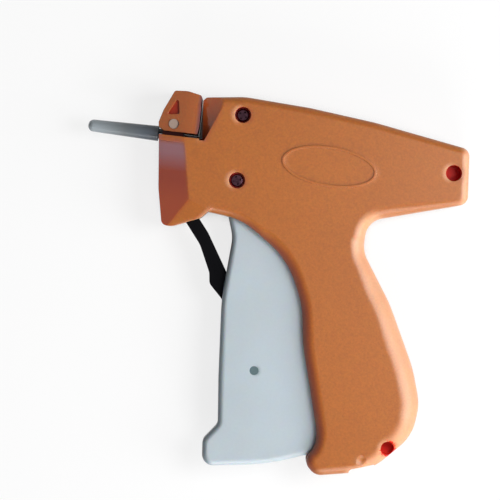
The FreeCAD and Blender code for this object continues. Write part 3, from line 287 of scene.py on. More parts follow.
def merged_copy(node, name):
    """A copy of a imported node's mesh with its doubles merged and its flat faces joined."""
    mesh = frame["nodes"][node].data.copy()
    mesh.materials.clear()
    work = bmesh.new()
    work.from_mesh(mesh)
    bmesh.ops.remove_doubles(work, verts=work.verts, dist=MERGE_DISTANCE)
    bmesh.ops.dissolve_limit(
        work, angle_limit=FLAT_ANGLE, verts=work.verts, edges=work.edges, delimit={"NORMAL"}
    )
    work.to_mesh(mesh)
    work.free()
    return new_piece(name, mesh)


def apply_modifiers(piece):
    """Turns a piece with its modifiers into a plain mesh."""
    graph = bpy.context.evaluated_depsgraph_get()
    mesh = bpy.data.meshes.new_from_object(piece.evaluated_get(graph), depsgraph=graph)
    piece.modifiers.clear()
    piece.data = mesh


def is_sharp(edge):
    """Whether an edge stays sharp: a real corner, or a low crease between two large flat faces."""
    sides = edge.link_faces
    turn = edge.calc_face_angle(0)
    if turn > SHARP_ANGLE or len(sides) == 2 and sides[0].material_index != sides[1].material_index:
        return True
    first, second = (vert.co for vert in edge.verts)
    upright = abs(first.z - second.z) > 0.9 * (first - second).length
    large = min(face.calc_area() for face in sides) > LARGE_FACE
    return turn > CREASE_ANGLE and large and not upright


def shade(piece):
    """Shades a piece smooth up to its sharp edges, with its flat faces kept flat."""
    work = bmesh.new()
    work.from_mesh(piece.data)
    for face in work.faces:
        face.smooth = True
    for edge in work.edges:
        edge.smooth = not is_sharp(edge)
    work.to_mesh(piece.data)
    work.free()
    weighted = piece.modifiers.new("normals", "WEIGHTED_NORMAL")
    weighted.keep_sharp = True
    weighted.weight = 100
    apply_modifiers(piece)


def choose_faces(piece, index, chosen):
    """Gives another of the piece's materials to the faces for which the test holds."""
    for polygon in piece.data.polygons:
        if chosen(polygon.center, polygon.normal):
            polygon.material_index = index


def dress(piece, body, node, slot, *materials):
    """Gives a piece its materials and its body, and hides the node that it stands for."""
    for material in materials:
        piece.data.materials.append(material)
    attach(piece, body)
    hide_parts(node)


def revolved(profile, sides):
    """Body turned about Z from a profile of radius and height that starts and ends on the axis."""
    work = bmesh.new()
    rings = []
    for radius, height in profile:
        count = sides if radius else 1
        ring = []
        for number in range(count):
            turn = 2 * math.pi * number / sides
            ring.append(work.verts.new((radius * math.cos(turn), radius * math.sin(turn), height)))
        rings.append(ring)
    for first, second in zip(rings, rings[1:]):
        for number in range(sides):
            after = number + 1
            corners = [first[number % len(first)], first[after % len(first)],
                       second[after % len(second)], second[number % len(second)]]
            work.faces.new(list(dict.fromkeys(corners)))
    bmesh.ops.recalc_face_normals(work, faces=work.faces)
    return work


def finished_mesh(name, work):
    mesh = bpy.data.meshes.new(name)
    work.to_mesh(mesh)
    work.free()
    return mesh


# Geometry nodes

def coil_tree():
    """A coil of round wire that rises along Z, and the identifiers of the inputs."""
    tree = bpy.data.node_groups.new("coil", "GeometryNodeTree")
    sockets = {
        "Wire radius": "NodeSocketFloat", "Coil radius": "NodeSocketFloat", "Height": "NodeSocketFloat",
        "Turns": "NodeSocketFloat", "Material": "NodeSocketMaterial",
    }
    identifiers = {}
    for title, kind in sockets.items():
        identifiers[title] = tree.interface.new_socket(title, in_out="INPUT", socket_type=kind).identifier
    tree.interface.new_socket("Geometry", in_out="OUTPUT", socket_type="NodeSocketGeometry")
    source = tree.nodes.new("NodeGroupInput")
    output = tree.nodes.new("NodeGroupOutput")
    spiral = tree.nodes.new("GeometryNodeCurveSpiral")
    spiral.inputs["Resolution"].default_value = 28
    wire = tree.nodes.new("GeometryNodeCurvePrimitiveCircle")
    wire.inputs["Resolution"].default_value = 12
    swept = tree.nodes.new("GeometryNodeCurveToMesh")
    swept.inputs["Fill Caps"].default_value = True
    smooth = tree.nodes.new("GeometryNodeSetShadeSmooth")
    real = tree.nodes.new("GeometryNodeRealizeInstances")
    painted = tree.nodes.new("GeometryNodeSetMaterial")
    for start, end in (
        (source.outputs["Coil radius"], spiral.inputs["Start Radius"]),
        (source.outputs["Coil radius"], spiral.inputs["End Radius"]),
        (source.outputs["Height"], spiral.inputs["Height"]),
        (source.outputs["Turns"], spiral.inputs["Rotations"]),
        (source.outputs["Wire radius"], wire.inputs["Radius"]),
        (spiral.outputs["Curve"], swept.inputs["Curve"]),
        (wire.outputs["Curve"], swept.inputs["Profile Curve"]),
        (swept.outputs["Mesh"], smooth.inputs["Geometry"]),
        (smooth.outputs["Geometry"], real.inputs["Geometry"]),
        (real.outputs["Geometry"], painted.inputs["Geometry"]),
        (source.outputs["Material"], painted.inputs["Material"]),
        (painted.outputs["Geometry"], output.inputs["Geometry"]),
    ):
        tree.links.new(start, end)
    return tree, identifiers


# Materials

def new_material(name):
    material = bpy.data.materials.new(name)
    material.use_nodes = True
    tree = material.node_tree
    tree.nodes.clear()
    shader = tree.nodes.new("ShaderNodeBsdfPrincipled")
    output = tree.nodes.new("ShaderNodeOutputMaterial")
    tree.links.new(shader.outputs["BSDF"], output.inputs["Surface"])
    return material, tree, shader


def noise(tree, scale, detail=2.0, stretch=(1.0, 1.0, 1.0)):
    """Noise on object coordinates, where the scale is the size of its grains."""
    place = tree.nodes.new("ShaderNodeTexCoord")
    spread = tree.nodes.new("ShaderNodeMapping")
    spread.inputs["Scale"].default_value = stretch
    texture = tree.nodes.new("ShaderNodeTexNoise")
    texture.inputs["Scale"].default_value = 1 / scale
    texture.inputs["Detail"].default_value = detail
    tree.links.new(place.outputs["Object"], spread.inputs["Vector"])
    tree.links.new(spread.outputs["Vector"], texture.inputs["Vector"])
    return texture.outputs["Fac"]


def ramp(tree, source, stops):
    """Colours along a value, from stops of position and colour."""
    node = tree.nodes.new("ShaderNodeValToRGB")
    elements = node.color_ramp.elements
    while len(elements) < len(stops):
        elements.new(1.0)
    for element, (position, tone) in zip(elements, stops):
        element.position = position
        element.color = (*tone, 1.0)
    tree.links.new(source, node.inputs["Fac"])
    return node.outputs["Color"]


def toned(tone, factor):
    return tuple(min(channel * factor, 1.0) for channel in tone)


def blended(tree, factor, first, second):
    """The first colour where the factor is 0, and the second where it is 1."""
    node = tree.nodes.new("ShaderNodeMix")
    node.data_type = "RGBA"
    tree.links.new(factor, node.inputs[0])
    tree.links.new(first, node.inputs[6])
    tree.links.new(second, node.inputs[7])
    return node.outputs[2]


def multiplied(tree, first, second):
    node = tree.nodes.new("ShaderNodeMix")
    node.data_type = "RGBA"
    node.blend_type = "MULTIPLY"
    node.inputs[0].default_value = 1.0
    tree.links.new(first, node.inputs[6])
    tree.links.new(second, node.inputs[7])
    return node.outputs[2]


def mapped(tree, source, start, end, low=0.0, high=1.0):
    """A value that goes smoothly from low to high while the source goes from start to end."""
    node = tree.nodes.new("ShaderNodeMapRange")
    node.interpolation_type = "SMOOTHSTEP"
    for number, value in enumerate((start, end, low, high), 1):
        node.inputs[number].default_value = value
    tree.links.new(source, node.inputs[0])
    return node.outputs[0]


def object_place(tree, axis):
    """One of the object coordinates."""
    place = tree.nodes.new("ShaderNodeTexCoord")
    parts = tree.nodes.new("ShaderNodeSeparateXYZ")
    tree.links.new(place.outputs["Object"], parts.inputs[0])
    return parts.outputs[axis]


def soft_normal(tree, radius):
    """Normal of the surface with its edges rounded."""
    rounded = tree.nodes.new("ShaderNodeBevel")
    rounded.samples = 6
    rounded.inputs["Radius"].default_value = radius
    return rounded.outputs["Normal"]


def relief(tree, shader, source, depth, edge=0.0):
    """Bump on top of softly rounded edges."""
    node = tree.nodes.new("ShaderNodeBump")
    node.inputs["Distance"].default_value = depth
    tree.links.new(source, node.inputs["Height"])
    if edge:
        tree.links.new(soft_normal(tree, edge), node.inputs["Normal"])
    tree.links.new(node.outputs["Normal"], shader.inputs["Normal"])
    return node


def painted_crevice_shade(tree, reach, tone):
    """Painted shade from ambient occlusion: white in the open, and the given tone in gaps that are deeper
    than they are wide.
    """
    node = tree.nodes.new("ShaderNodeAmbientOcclusion")
    node.samples = 6
    node.inputs["Distance"].default_value = reach
    return ramp(tree, node.outputs["AO"], [(0.05, tone), (0.5, WHITE)])


def facing_back(tree, radius=NORMAL_REACH):
    """How much the surface with its edges rounded faces the rear, from -1 to 1."""
    parts = tree.nodes.new("ShaderNodeSeparateXYZ")
    tree.links.new(soft_normal(tree, radius), parts.inputs[0])
    return parts.outputs["X"]


def on_gloss_and_painted_light(tree, nose_length):
    """1 on the faces of the nose and the clip entry that slope to the front, otherwise 0; these get lower
    roughness, a painted reflection and painted shade.
    """
    sloped = mapped(tree, facing_back(tree), -0.10, -0.34)
    end = CASING_LOW.x + nose_length
    ahead = mapped(tree, object_place(tree, "X"), end, end - 2 * MILLIMETRE)
    both = tree.nodes.new("ShaderNodeMath")
    both.operation = "MULTIPLY"
    tree.links.new(sloped, both.inputs[0])
    tree.links.new(ahead, both.inputs[1])
    return both.outputs[0]


def moulded_plastic(name, tone, roughness, grain, edge=0.0, glow=0.0, shade=None, gloss_and_painted_light=None, shine=0.35,
                    front=None, rear=None, painted_edge_light=None):
    """Moulded plastic, whose grain is given by its size, depth and change of tone.

    Front is the painted shade left on edges that face forward. The painted highlight on the pale rear edges
    needs it too.
    """
    size, depth, change = grain
    material, tree, shader = new_material(name)
    speckle = noise(tree, size, 3.0)
    patches = noise(tree, PATCH_SIZE)
    grained = ramp(tree, speckle, [
        (0.30, toned(tone, 1 - change)), (0.50, tone), (0.70, toned(tone, 1 + change))
    ])
    cloudy = ramp(tree, patches, [(0.30, (0.95, 0.93, 0.91)), (0.70, WHITE)])
    result = multiplied(tree, grained, cloudy)
    rough = mapped(tree, patches, 0.0, 1.0, roughness * 0.9, roughness * 1.1)
    bump = relief(tree, shader, speckle, depth, edge)
    # Painted shade darkens the edges that face forward.
    if front:
        wide = facing_back(tree, painted_edge_light["width"] if painted_edge_light else NORMAL_REACH)
        ahead = mapped(tree, wide, -0.06, -0.6)
        result = multiplied(tree, result, ramp(tree, ahead, [(0.0, WHITE), (1.0, front)]))
        # Painted highlight: the edges that face the rear turn pale.
        if painted_edge_light:
            tone = painted_edge_light["tone"]
            pale = ramp(tree, speckle, [(0.3, toned(tone, 0.95)), (0.7, toned(tone, 1.05))])
            result = blended(tree, mapped(tree, wide, 0.04, 0.5), result, pale)
    # Painted shade that darkens the piece towards its rear end, with rougher reflection there.
    if rear:
        last = mapped(tree, object_place(tree, "X"), rear["start"], rear["end"])
        dark = ramp(tree, speckle, [(0.0, toned(rear["tone"], 0.9)), (1.0, rear["tone"])])
        result = blended(tree, last, result, dark)
        rough = mapped(tree, last, 0.0, 1.0, roughness, 0.7)
    # The glossy nose: lower roughness, and a painted reflection and painted shade along its height.
    if gloss_and_painted_light:
        mask = on_gloss_and_painted_light(tree, gloss_and_painted_light["nose_length"])
        height = mapped(tree, object_place(tree, "Y"), gloss_and_painted_light["foot"], gloss_and_painted_light["top"])
        result = blended(tree, mask, result, ramp(tree, height, gloss_and_painted_light["stops"]))
        rough = mapped(tree, mask, 0.0, 1.0, roughness, gloss_and_painted_light["roughness"])
        tree.links.new(mapped(tree, mask, 0.0, 1.0, 1.0, 0.1), bump.inputs["Strength"])
    # Painted shade in deep gaps.
    if shade:
        result = multiplied(tree, result, painted_crevice_shade(tree, CREVICE_REACH, shade))
    tree.links.new(result, shader.inputs["Base Color"])
    tree.links.new(rough, shader.inputs["Roughness"])
    shader.inputs["Specular IOR Level"].default_value = shine
    shader.inputs["Subsurface Weight"].default_value = glow
    shader.inputs["Subsurface Radius"].default_value = GLOW_COLOURS
    shader.inputs["Subsurface Scale"].default_value = GLOW_REACH
    return material


def drawn_metal(name, tone, roughness, stretch):
    """Metal with fine marks drawn out along one axis."""
    material, tree, shader = new_material(name)
    marks = noise(tree, 1.1 * MILLIMETRE, 3.0, stretch)
    shades = ramp(tree, marks, [(0.3, toned(tone, 0.82)), (0.7, toned(tone, 1.05))])
    tree.links.new(shades, shader.inputs["Base Color"])
    shader.inputs["Metallic"].default_value = 1.0
    rough = mapped(tree, marks, 0.0, 1.0, roughness * 0.75, roughness * 1.25)
    tree.links.new(rough, shader.inputs["Roughness"])
    relief(tree, shader, marks, 0.004 * MILLIMETRE)
    return material


def smoky_plastic_with_painted_shade(name, tip, root, clearness):
    """Smoky clear plastic, with painted shade that darkens it towards the foot of the cap."""
    material, tree, shader = new_material(name)
    along = mapped(tree, object_place(tree, "X"), CAP_LOW.x, CAP_HIGH.x)
    # Painted shade: darker from the tip towards the root.
    smoke_and_shade = ramp(tree, along, [(0.0, tip), (0.55, toned(tip, 0.45)), (0.92, root)])
    tree.links.new(smoke_and_shade, shader.inputs["Base Color"])
    shader.inputs["Roughness"].default_value = 0.25
    shader.inputs["IOR"].default_value = 1.46
    shader.inputs["Transmission Weight"].default_value = clearness
    relief(tree, shader, noise(tree, 4 * MILLIMETRE), 0.02 * MILLIMETRE)
    return material


# Pieces

class TAG_OT_casing(bpy.types.Operator):
    """Both halves of the casing, with their smooth nose and their wells"""

    bl_idname = "tag.casing"
    bl_label = "Casing halves"

    def execute(self, context):
        settings = context.scene.tag_casing
        screw = context.scene.tag_screw
        grain = (settings.grain_size, settings.grain_depth, settings.grain_tone)
        fine = (settings.grain_size, settings.grain_depth / 6, settings.grain_tone / 3)
        # The nose's glossy faces, coloured with a painted reflection at the top and painted shade below it.
        gloss_and_painted_light = {
            "nose_length": settings.nose_length, "roughness": 0.16,
            "foot": CASING_HIGH.y - settings.gloss_reach, "top": CASING_HIGH.y - settings.gloss_drop,
            "stops": [(0.1, settings.nose_foot_painted_shade), (0.45, settings.nose_painted_shade),
                      (0.58, settings.nose_painted_shade), (0.86, settings.nose_painted_reflection),
                      (0.93, settings.nose_painted_reflection), (1.0, settings.entry)],
        }
        # Painted highlight on the rear edges, and the width of it and of the painted shade on the front
        # edges.
        painted_edge_light = {"tone": settings.back, "width": settings.painted_edge_width}
        materials = (
            moulded_plastic("grained_orange_plastic", settings.grained, settings.roughness, grain,
                            settings.edge, 0.35, settings.shade, gloss_and_painted_light, shine=0.5, front=settings.front,
                            painted_edge_light=painted_edge_light),
            moulded_plastic("peg_well_painted_glow", settings.well, 0.35, fine, glow=0.3, shine=0.15),
            moulded_plastic("screw_well_painted_shade", settings.screw_well, 0.4, fine),
            moulded_plastic("latch_slot_painted_shade", settings.slot, 0.6, fine, shine=0.1),
        )
        pegs = [Vector((settings.rear_peg_x, settings.rear_peg_y)),
                Vector((settings.heel_peg_x, -settings.heel_peg_y))]
        upper = Vector((SCREW_LOW.x + screw.seat_radius, SCREW_HIGH.y - screw.seat_radius))
        screws = [upper, TRIGGER_HINGE.xy]
        reach = CASING_HIGH.z - MIDDLE_Z - settings.well_lip

        def in_well(centre, wells):
            near = any((centre.xy - well).length < settings.well_radius for well in wells)
            return near and abs(centre.z - MIDDLE_Z) < reach

        # Faces deep in the slot under the latch, which get painted shade.
        def in_slot(centre, normal):
            depth = abs(centre.z - MIDDLE_Z)
            under = SLOT_LEAST_DEPTH < depth < LATCH_HIGH.z - MIDDLE_Z - SLOT_UNDER_LATCH
            return centre.x < LATCH_HIGH.x and centre.y > LATCH_LOW.y - MILLIMETRE and under

        for side in ("left", "right"):
            piece = merged_copy(side + "_shell", "casing_" + side)
            dress(piece, "casing", side + "_shell", "casing_plastic", *materials)
            # Painted glow in the pegs' wells.
            choose_faces(piece, 1, lambda centre, normal: in_well(centre, pegs))
            # Painted shade in the screws' wells.
            choose_faces(piece, 2, lambda centre, normal: in_well(centre, screws))
            # Painted shade deep in the slot under the latch.
            choose_faces(piece, 3, in_slot)
            shade(piece)
        return {"FINISHED"}


class TAG_OT_latch(bpy.types.Operator):
    """The needle latch with its soft crests and its sunk mark"""

    bl_idname = "tag.latch"
    bl_label = "Needle latch"

    def execute(self, context):
        settings = context.scene.tag_casing
        fine = (settings.grain_size, settings.grain_depth / 3, settings.grain_tone / 2)
        end = LATCH_HIGH.x
        # Painted shade towards the latch's rear edges.
        rear = {"tone": settings.rear, "start": end - settings.latch_rear, "end": end}
        block = moulded_plastic("smooth_orange_plastic", settings.smooth, 0.25, fine, settings.latch_edge,
                                0.35, settings.shade, shine=0.5, rear=rear)
        mark = moulded_plastic("mark_orange_plastic", settings.mark, 0.5, fine)
        piece = merged_copy("needle_latch", "latch_block")
        self.round_crests(piece, settings.latch_crest)
        dress(piece, "needle_latch", "needle_latch", "casing_plastic", block, mark)
        self.find_mark(piece)
        shade(piece)
        return {"FINISHED"}

    def round_crests(self, piece, width):
        work = bmesh.new()
        work.from_mesh(piece.data)
        edges = [edge for edge in work.edges if self.is_crest(edge)]
        bmesh.ops.bevel(work, geom=edges, offset=width, segments=6, profile=0.5, affect="EDGES")
        work.to_mesh(piece.data)
        work.free()

    def is_crest(self, edge):
        """Whether an edge is the long low crest on one of the block's sides."""
        low, high = sorted((vert.co for vert in edge.verts), key=lambda place: place.y)
        rise = high.y - low.y
        upright = abs(low.x - high.x) < 0.2 * rise and rise > CREST_LEAST_RISE
        return upright and CREASE_ANGLE < edge.calc_face_angle(0) < CREST_ANGLE

    def find_mark(self, piece):
        """Gives the mark's material to the faces that lie sunk under the block's sloped sides."""
        for side in (-1, 1):
            sloped = [
                face for face in piece.data.polygons if face.normal.x < -0.1 and face.normal.z * side > 0.95
            ]
            widest = max(sloped, key=lambda face: face.area)
            for face in sloped:
                level = face.normal.angle(widest.normal) < math.radians(1.0)
                if level and (face.center - widest.center).dot(widest.normal) < -MARK_LEAST_DEPTH:
                    face.material_index = 1


class TAG_OT_trigger(bpy.types.Operator):
    """The pale trigger, the pin across it and the black feed lever"""

    bl_idname = "tag.trigger"
    bl_label = "Trigger and feed lever"

    def execute(self, context):
        settings = context.scene.tag_trigger
        fine = (0.9 * MILLIMETRE, 0.008 * MILLIMETRE, 0.015)
        coarse = (0.4 * MILLIMETRE, 0.02 * MILLIMETRE, 0.1)
        # Pale plastic with painted shade in deep gaps and on its forward edges.
        pale = moulded_plastic("pale_trigger_plastic", settings.plastic, 0.36, fine, settings.edge, 0.25,
                               settings.shade, front=settings.front)
        piece = merged_copy("trigger", "trigger_body")
        dress(piece, "trigger", "trigger", "trigger_plastic", pale)
        shade(piece)
        black = moulded_plastic("black_lever_plastic", settings.lever, 0.4, coarse, settings.lever_edge,
                                shine=0.03)
        piece = merged_copy("feed_lever", "feed_lever_body")
        dress(piece, "feed_lever", "feed_lever", "black_plastic", black)
        shade(piece)
        finish_node("trigger_cross_pin", moulded_plastic("pin_plastic", settings.pin, 0.5, coarse))
        return {"FINISHED"}


class TAG_OT_cap(bpy.types.Operator):
    """The smoky cap over the needle"""

    bl_idname = "tag.cap"
    bl_label = "Needle cap"

    def execute(self, context):
        settings = context.scene.tag_cap
        work = revolved(self.profile(settings, CAP_HIGH.x - CAP_LOW.x), settings.sides)
        middle = (CAP_LOW + CAP_HIGH) / 2
        place = Matrix.Translation((CAP_LOW.x, middle.y, middle.z))
        work.transform(place @ Matrix.Rotation(math.radians(90), 4, "Y"))
        piece = new_piece("cap_body", finished_mesh("cap_body", work))
        smoke_and_shade = smoky_plastic_with_painted_shade(
            "smoky_cap_with_painted_shade", settings.smoke_tip, settings.smoke_and_shade_root, settings.clearness
        )
        dress(piece, "needle_cap", "needle_cap", "cap_plastic", smoke_and_shade)
        shade(piece)
        return {"FINISHED"}

    def profile(self, settings, reach):
        """Outside of the cap from its tip to its base, and back inside to the end of the bore."""
        steps = 8
        flat = settings.tip_radius - settings.tip_round
        outside = []
        for number in range(steps + 1):
            turn = math.pi / 2 * number / steps
            height = settings.tip_round * (1 - math.cos(turn))
            outside.append((flat + settings.tip_round * math.sin(turn), height))
        wall = settings.tip_radius - settings.bore_radius
        end = settings.bore_radius / 2
        return [(0, 0)] + outside + [
            (settings.base_radius, reach - settings.lip),
            (settings.base_radius - settings.lip, reach),
            (settings.socket_radius + settings.lip, reach),
            (settings.socket_radius, reach - settings.lip),
            (settings.socket_radius, reach - settings.socket_length),
            (settings.bore_radius, wall + end),
            (end, wall),
            (0, wall),
        ]


class TAG_OT_screws(bpy.types.Operator):
    """The two cross-head screws"""

    bl_idname = "tag.screws"
    bl_label = "Case screws"

    def execute(self, context):
        settings = context.scene.tag_screw
        both = bmesh.new()
        lower = Vector((TRIGGER_HINGE.x, TRIGGER_HINGE.y, SCREW_HIGH.z))
        upper = Vector((SCREW_LOW.x + settings.seat_radius, SCREW_HIGH.y - settings.seat_radius,
                        SCREW_HIGH.z - settings.upper_drop))
        full = SCREW_HIGH.z - SCREW_LOW.z
        short = full - settings.upper_drop - settings.upper_rise
        for place, reach, turn in (
            (lower, full, settings.lower_turn), (upper, short, settings.upper_turn)
        ):
            mesh = self.screw(settings, reach)
            mesh.transform(Matrix.Translation(place) @ Matrix.Rotation(turn, 4, "Z"))
            both.from_mesh(mesh)
            bpy.data.meshes.remove(mesh)
        piece = new_piece("screws", finished_mesh("screws", both))
        # Metal whose dark colour is painted shade of the deep wells.
        metal = drawn_metal("screw_metal_painted_shade", settings.metal, 0.3, (1.0, 1.0, 0.3))
        dress(piece, "casing", "case_screws", "plated_steel", metal)
        shade(piece)
        return {"FINISHED"}

    def screw(self, settings, reach):
        """A screw whose head's top lies at zero height, with a cross sunk in the head."""
        work = revolved(self.profile(settings, reach), settings.sides)
        top = [vert for vert in work.verts if vert.co.z > -MERGE_DISTANCE]
        centre = [vert for vert in top if vert.co.xy.length < settings.cross_half]
        bmesh.ops.delete(work, geom=centre, context="VERTS")
        border = [edge for edge in work.edges if edge.is_boundary]
        upper = self.cross(work, settings, 1.0, 0.0)
        lower = self.cross(work, settings, 0.72, -settings.cross_depth)
        for number, vert in enumerate(upper):
            after = (number + 1) % len(upper)
            border.append(work.edges.new((vert, upper[after])))
            work.faces.new((vert, upper[after], lower[after], lower[number]))
        work.faces.new(lower)
        bmesh.ops.triangle_fill(work, edges=border, use_beauty=True)
        bmesh.ops.recalc_face_normals(work, faces=work.faces)
        return finished_mesh("screw", work)

    def cross(self, work, settings, scale, height):
        """Corners of a cross at a height."""
        reach = settings.cross_reach * scale
        half = settings.cross_half * scale
        verts = []
        for quarter in range(4):
            turn = Matrix.Rotation(math.pi / 2 * quarter, 2)
            for place in ((reach, -half), (reach, half), (half, half)):
                x, y = turn @ Vector(place)
                verts.append(work.verts.new((x, y, height)))
        return verts

    def profile(self, settings, reach):
        """Radius and height from the middle of the head's top down to the shank's point."""
        places = [(0, 0)]
        steps = 5
        flat = settings.head_radius - settings.dome
        for number in range(steps + 1):
            turn = math.pi / 2 * number / steps
            places.append((flat + settings.dome * math.sin(turn), -settings.dome * (1 - math.cos(turn))))
        foot = -settings.head_height
        places += [(settings.head_radius, foot), (settings.core_radius, foot)]
        side = settings.pitch * 0.3
        for number in range(int((reach - settings.head_height) / settings.pitch) - 2):
            height = foot - settings.pitch * (number + 1)
            places += [(settings.core_radius, height + side), (settings.shank_radius, height),
                       (settings.core_radius, height - side)]
        return places + [(settings.core_radius, -reach + settings.pitch), (settings.core_radius / 4, -reach),
                         (0, -reach)]


class TAG_OT_spring(bpy.types.Operator):
    """The return spring at its rest length; in the gun it is squeezed when the trigger is pulled"""

    bl_idname = "tag.spring"
    bl_label = "Return spring"

    def execute(self, context):
        settings = context.scene.tag_inside
        steel = drawn_metal("spring_wire_steel", settings.steel, 0.3, (1.0, 1.0, 1.0))
        piece = new_piece("spring_coil", bpy.data.meshes.new("spring_coil"))
        tree, identifiers = coil_tree()
        modifier = piece.modifiers.new("coil", "NODES")
        modifier.node_group = tree
        modifier[identifiers["Wire radius"]] = settings.wire
        modifier[identifiers["Coil radius"]] = settings.coil
        modifier[identifiers["Height"]] = settings.spring_length - 2 * settings.wire
        modifier[identifiers["Turns"]] = settings.turns
        modifier[identifiers["Material"]] = steel
        apply_modifiers(piece)
        along = Vector((math.cos(settings.direction), math.sin(settings.direction), 0.0))
        fixed = Vector((settings.fixed_x, -settings.fixed_y, MIDDLE_Z))
        foot = fixed - along * (settings.spring_length - settings.wire)
        turn = Matrix.Rotation(settings.direction, 4, "Z") @ Matrix.Rotation(math.radians(90), 4, "Y")
        piece.data.transform(Matrix.Translation(foot) @ turn)
        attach(piece, "casing")
        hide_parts("return_spring")
        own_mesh(piece)
        return {"FINISHED"}


def finish_node(node, material):
    """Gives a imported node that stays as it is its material."""
    mesh = frame["nodes"][node].data
    mesh.materials.clear()
    mesh.materials.append(material)


class TAG_OT_inside(bpy.types.Operator):
    """Finishes of the metal and plastic parts inside"""

    bl_idname = "tag.inside"
    bl_label = "Inside parts"

    def execute(self, context):
        settings = context.scene.tag_inside
        fine = (0.8 * MILLIMETRE, 0.01 * MILLIMETRE, 0.02)
        steel = drawn_metal("ground_steel", settings.steel, 0.28, (0.05, 1.0, 1.0))
        plated = drawn_metal("plated_steel", toned(settings.steel, 1.1), 0.22, (1.0, 1.0, 0.05))
        pin = moulded_plastic("pale_pin", settings.pin, 0.45, fine)
        white = moulded_plastic("natural_white_plastic", settings.white, 0.4, fine, 0.3 * MILLIMETRE, 0.3)
        dark = moulded_plastic("dark_foot_plastic", settings.foot, 0.4, fine)
        # Steel whose dark colour is painted shade of the slot.
        blade = drawn_metal("blade_steel_painted_shade", settings.blade, 0.35, (1.0, 0.2, 1.0))
        finishes = {
            steel: ("needle", "push_rod"),
            blade: ("cutter_blade",),
            plated: ("drive_pin", "slider_pin", "pawl_pin", "feed_wheel_shaft", "check_spring"),
            pin: ("latch_pin",),
            white: ("trigger_bush", "drive_lever", "slider", "feed_pawl", "feed_wheel", "clip_guide"),
            dark: ("needle_hub",),
        }
        for material, nodes in finishes.items():
            for node in nodes:
                finish_node(node, material)
        return {"FINISHED"}


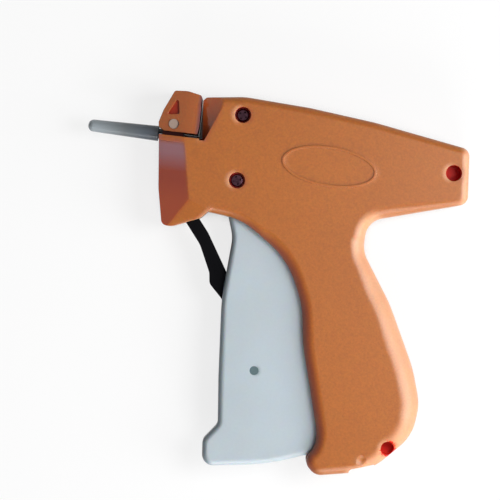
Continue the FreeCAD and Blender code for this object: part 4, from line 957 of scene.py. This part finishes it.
class TAG_OT_stage(bpy.types.Operator):
    """Floor, light and camera"""

    bl_idname = "tag.stage"
    bl_label = "Stage"

    def execute(self, context):
        settings = context.scene.tag_stage
        aim = Vector((-settings.aim_x, settings.aim_y, 0.0))
        self.add_floor(settings)
        self.add_camera(context, settings, aim)
        right = Vector((math.cos(settings.roll), math.sin(settings.roll), 0.0))
        up = Vector((-right.y, right.x, 0.0))
        above = Vector((0.0, 0.0, 1.0))
        self.add_light("window", aim, right * 1.1 - up * 0.15 + above * 0.66, 0.8, settings.window)
        self.add_light("front", aim, right * 0.1 - up * 0.8 + above * 0.36, 0.6, settings.front)
        self.add_light("key", aim, right * 0.27 + up * 0.02 + above * 0.45, 0.2, settings.key)
        self.add_world(context, settings)
        context.scene.view_settings.view_transform = "Standard"
        return {"FINISHED"}

    def add_floor(self, settings):
        reach = 3.0
        mesh = bpy.data.meshes.new("floor")
        corners = [(-reach, -reach, 0.0), (reach, -reach, 0.0), (reach, reach, 0.0), (-reach, reach, 0.0)]
        mesh.from_pydata(corners, [], [(0, 1, 2, 3)])
        mesh.transform(Matrix.Translation((0.0, 0.0, -0.2 * MILLIMETRE)))
        floor = new_piece("floor", mesh)
        material, tree, shader = new_material("pale_floor")
        shader.inputs["Base Color"].default_value = (0.8, 0.8, 0.8, 1.0)
        shader.inputs["Roughness"].default_value = 0.9
        shader.inputs["Specular IOR Level"].default_value = 0.0
        glow = tree.nodes.new("ShaderNodeEmission")
        # Painted shadow: the floor's glow darkens under and beside what stands on it.
        tree.links.new(painted_crevice_shade(tree, settings.contact, (0.02, 0.015, 0.015)), glow.inputs["Color"])
        part = tree.nodes.new("ShaderNodeMath")
        part.operation = "MULTIPLY"
        part.inputs[1].default_value = 1 - settings.shadow
        tree.links.new(self.seen_by_camera(tree), part.inputs[0])
        mix = tree.nodes.new("ShaderNodeMixShader")
        tree.links.new(part.outputs["Value"], mix.inputs[0])
        tree.links.new(shader.outputs["BSDF"], mix.inputs[1])
        tree.links.new(glow.outputs["Emission"], mix.inputs[2])
        output = next(node for node in tree.nodes if node.type == "OUTPUT_MATERIAL")
        tree.links.new(mix.outputs["Shader"], output.inputs["Surface"])
        mesh.materials.append(material)

    def seen_by_camera(self, tree):
        """1 for a ray from the camera, a mirror or clear plastic, otherwise 0."""
        path = tree.nodes.new("ShaderNodeLightPath")
        seen = path.outputs["Is Camera Ray"]
        for kind in ("Is Glossy Ray", "Is Transmission Ray"):
            either = tree.nodes.new("ShaderNodeMath")
            either.operation = "MAXIMUM"
            tree.links.new(seen, either.inputs[0])
            tree.links.new(path.outputs[kind], either.inputs[1])
            seen = either.outputs["Value"]
        return seen

    def add_camera(self, context, settings, aim):
        data = bpy.data.cameras.new("camera")
        data.sensor_width = settings.sensor / MILLIMETRE
        data.lens = data.sensor_width * settings.distance / settings.view_width
        data.clip_end = 20.0
        camera = bpy.data.objects.new("camera", data)
        context.scene.collection.objects.link(camera)
        camera.location = aim + Vector((0.0, 0.0, settings.distance + MIDDLE_Z))
        camera.rotation_euler = (0.0, 0.0, settings.roll)
        context.scene.camera = camera

    def add_light(self, name, aim, offset, size, strength):
        data = bpy.data.lights.new(name, "AREA")
        data.shape = "SQUARE"
        data.size = size
        data.energy = strength
        light = bpy.data.objects.new(name, data)
        bpy.context.scene.collection.objects.link(light)
        light.location = aim + offset
        light.rotation_euler = (-offset).to_track_quat("-Z", "Y").to_euler()

    def add_world(self, context, settings):
        world = bpy.data.worlds.new("surround")
        world.use_nodes = True
        tree = world.node_tree
        tree.nodes.clear()
        dim = tree.nodes.new("ShaderNodeBackground")
        dim.inputs["Strength"].default_value = settings.surround
        white = tree.nodes.new("ShaderNodeBackground")
        for background in (dim, white):
            background.inputs["Color"].default_value = (1.0, 1.0, 1.0, 1.0)
        mix = tree.nodes.new("ShaderNodeMixShader")
        output = tree.nodes.new("ShaderNodeOutputWorld")
        tree.links.new(self.seen_by_camera(tree), mix.inputs[0])
        tree.links.new(dim.outputs["Background"], mix.inputs[1])
        tree.links.new(white.outputs["Background"], mix.inputs[2])
        tree.links.new(mix.outputs["Shader"], output.inputs["Surface"])
        context.scene.world = world


class TAG_PT_panel(bpy.types.Panel):
    """Steps that dress the tag attacher, in order"""

    bl_label = "Tag attacher"
    bl_idname = "TAG_PT_panel"
    bl_space_type = "VIEW_3D"
    bl_region_type = "UI"
    bl_category = "Tag attacher"

    def draw(self, context):
        for operator in OPERATORS:
            self.layout.operator(operator.bl_idname)
        for name in SETTINGS:
            box = self.layout.box()
            group = getattr(context.scene, name)
            for key in group.bl_rna.properties.keys():
                if key not in ("rna_type", "name"):
                    box.prop(group, key)


SETTINGS = {
    "tag_casing": CasingSettings,
    "tag_trigger": TriggerSettings,
    "tag_cap": CapSettings,
    "tag_screw": ScrewSettings,
    "tag_inside": InsideSettings,
    "tag_stage": StageSettings,
}
OPERATORS = (
    TAG_OT_casing, TAG_OT_latch, TAG_OT_trigger, TAG_OT_cap, TAG_OT_screws, TAG_OT_spring, TAG_OT_inside,
    TAG_OT_stage,
)


def register():
    for name, group in SETTINGS.items():
        bpy.utils.register_class(group)
        setattr(bpy.types.Scene, name, bpy.props.PointerProperty(type=group))
    for operator in OPERATORS:
        bpy.utils.register_class(operator)
    bpy.utils.register_class(TAG_PT_panel)


def unregister():
    bpy.utils.unregister_class(TAG_PT_panel)
    for operator in reversed(OPERATORS):
        bpy.utils.unregister_class(operator)
    for name, group in reversed(list(SETTINGS.items())):
        delattr(bpy.types.Scene, name)
        bpy.utils.unregister_class(group)


def main():
    register()
    for operator in OPERATORS:
        area, step = operator.bl_idname.split(".")
        getattr(getattr(bpy.ops, area), step)()


if __name__ == "__main__":
    main()
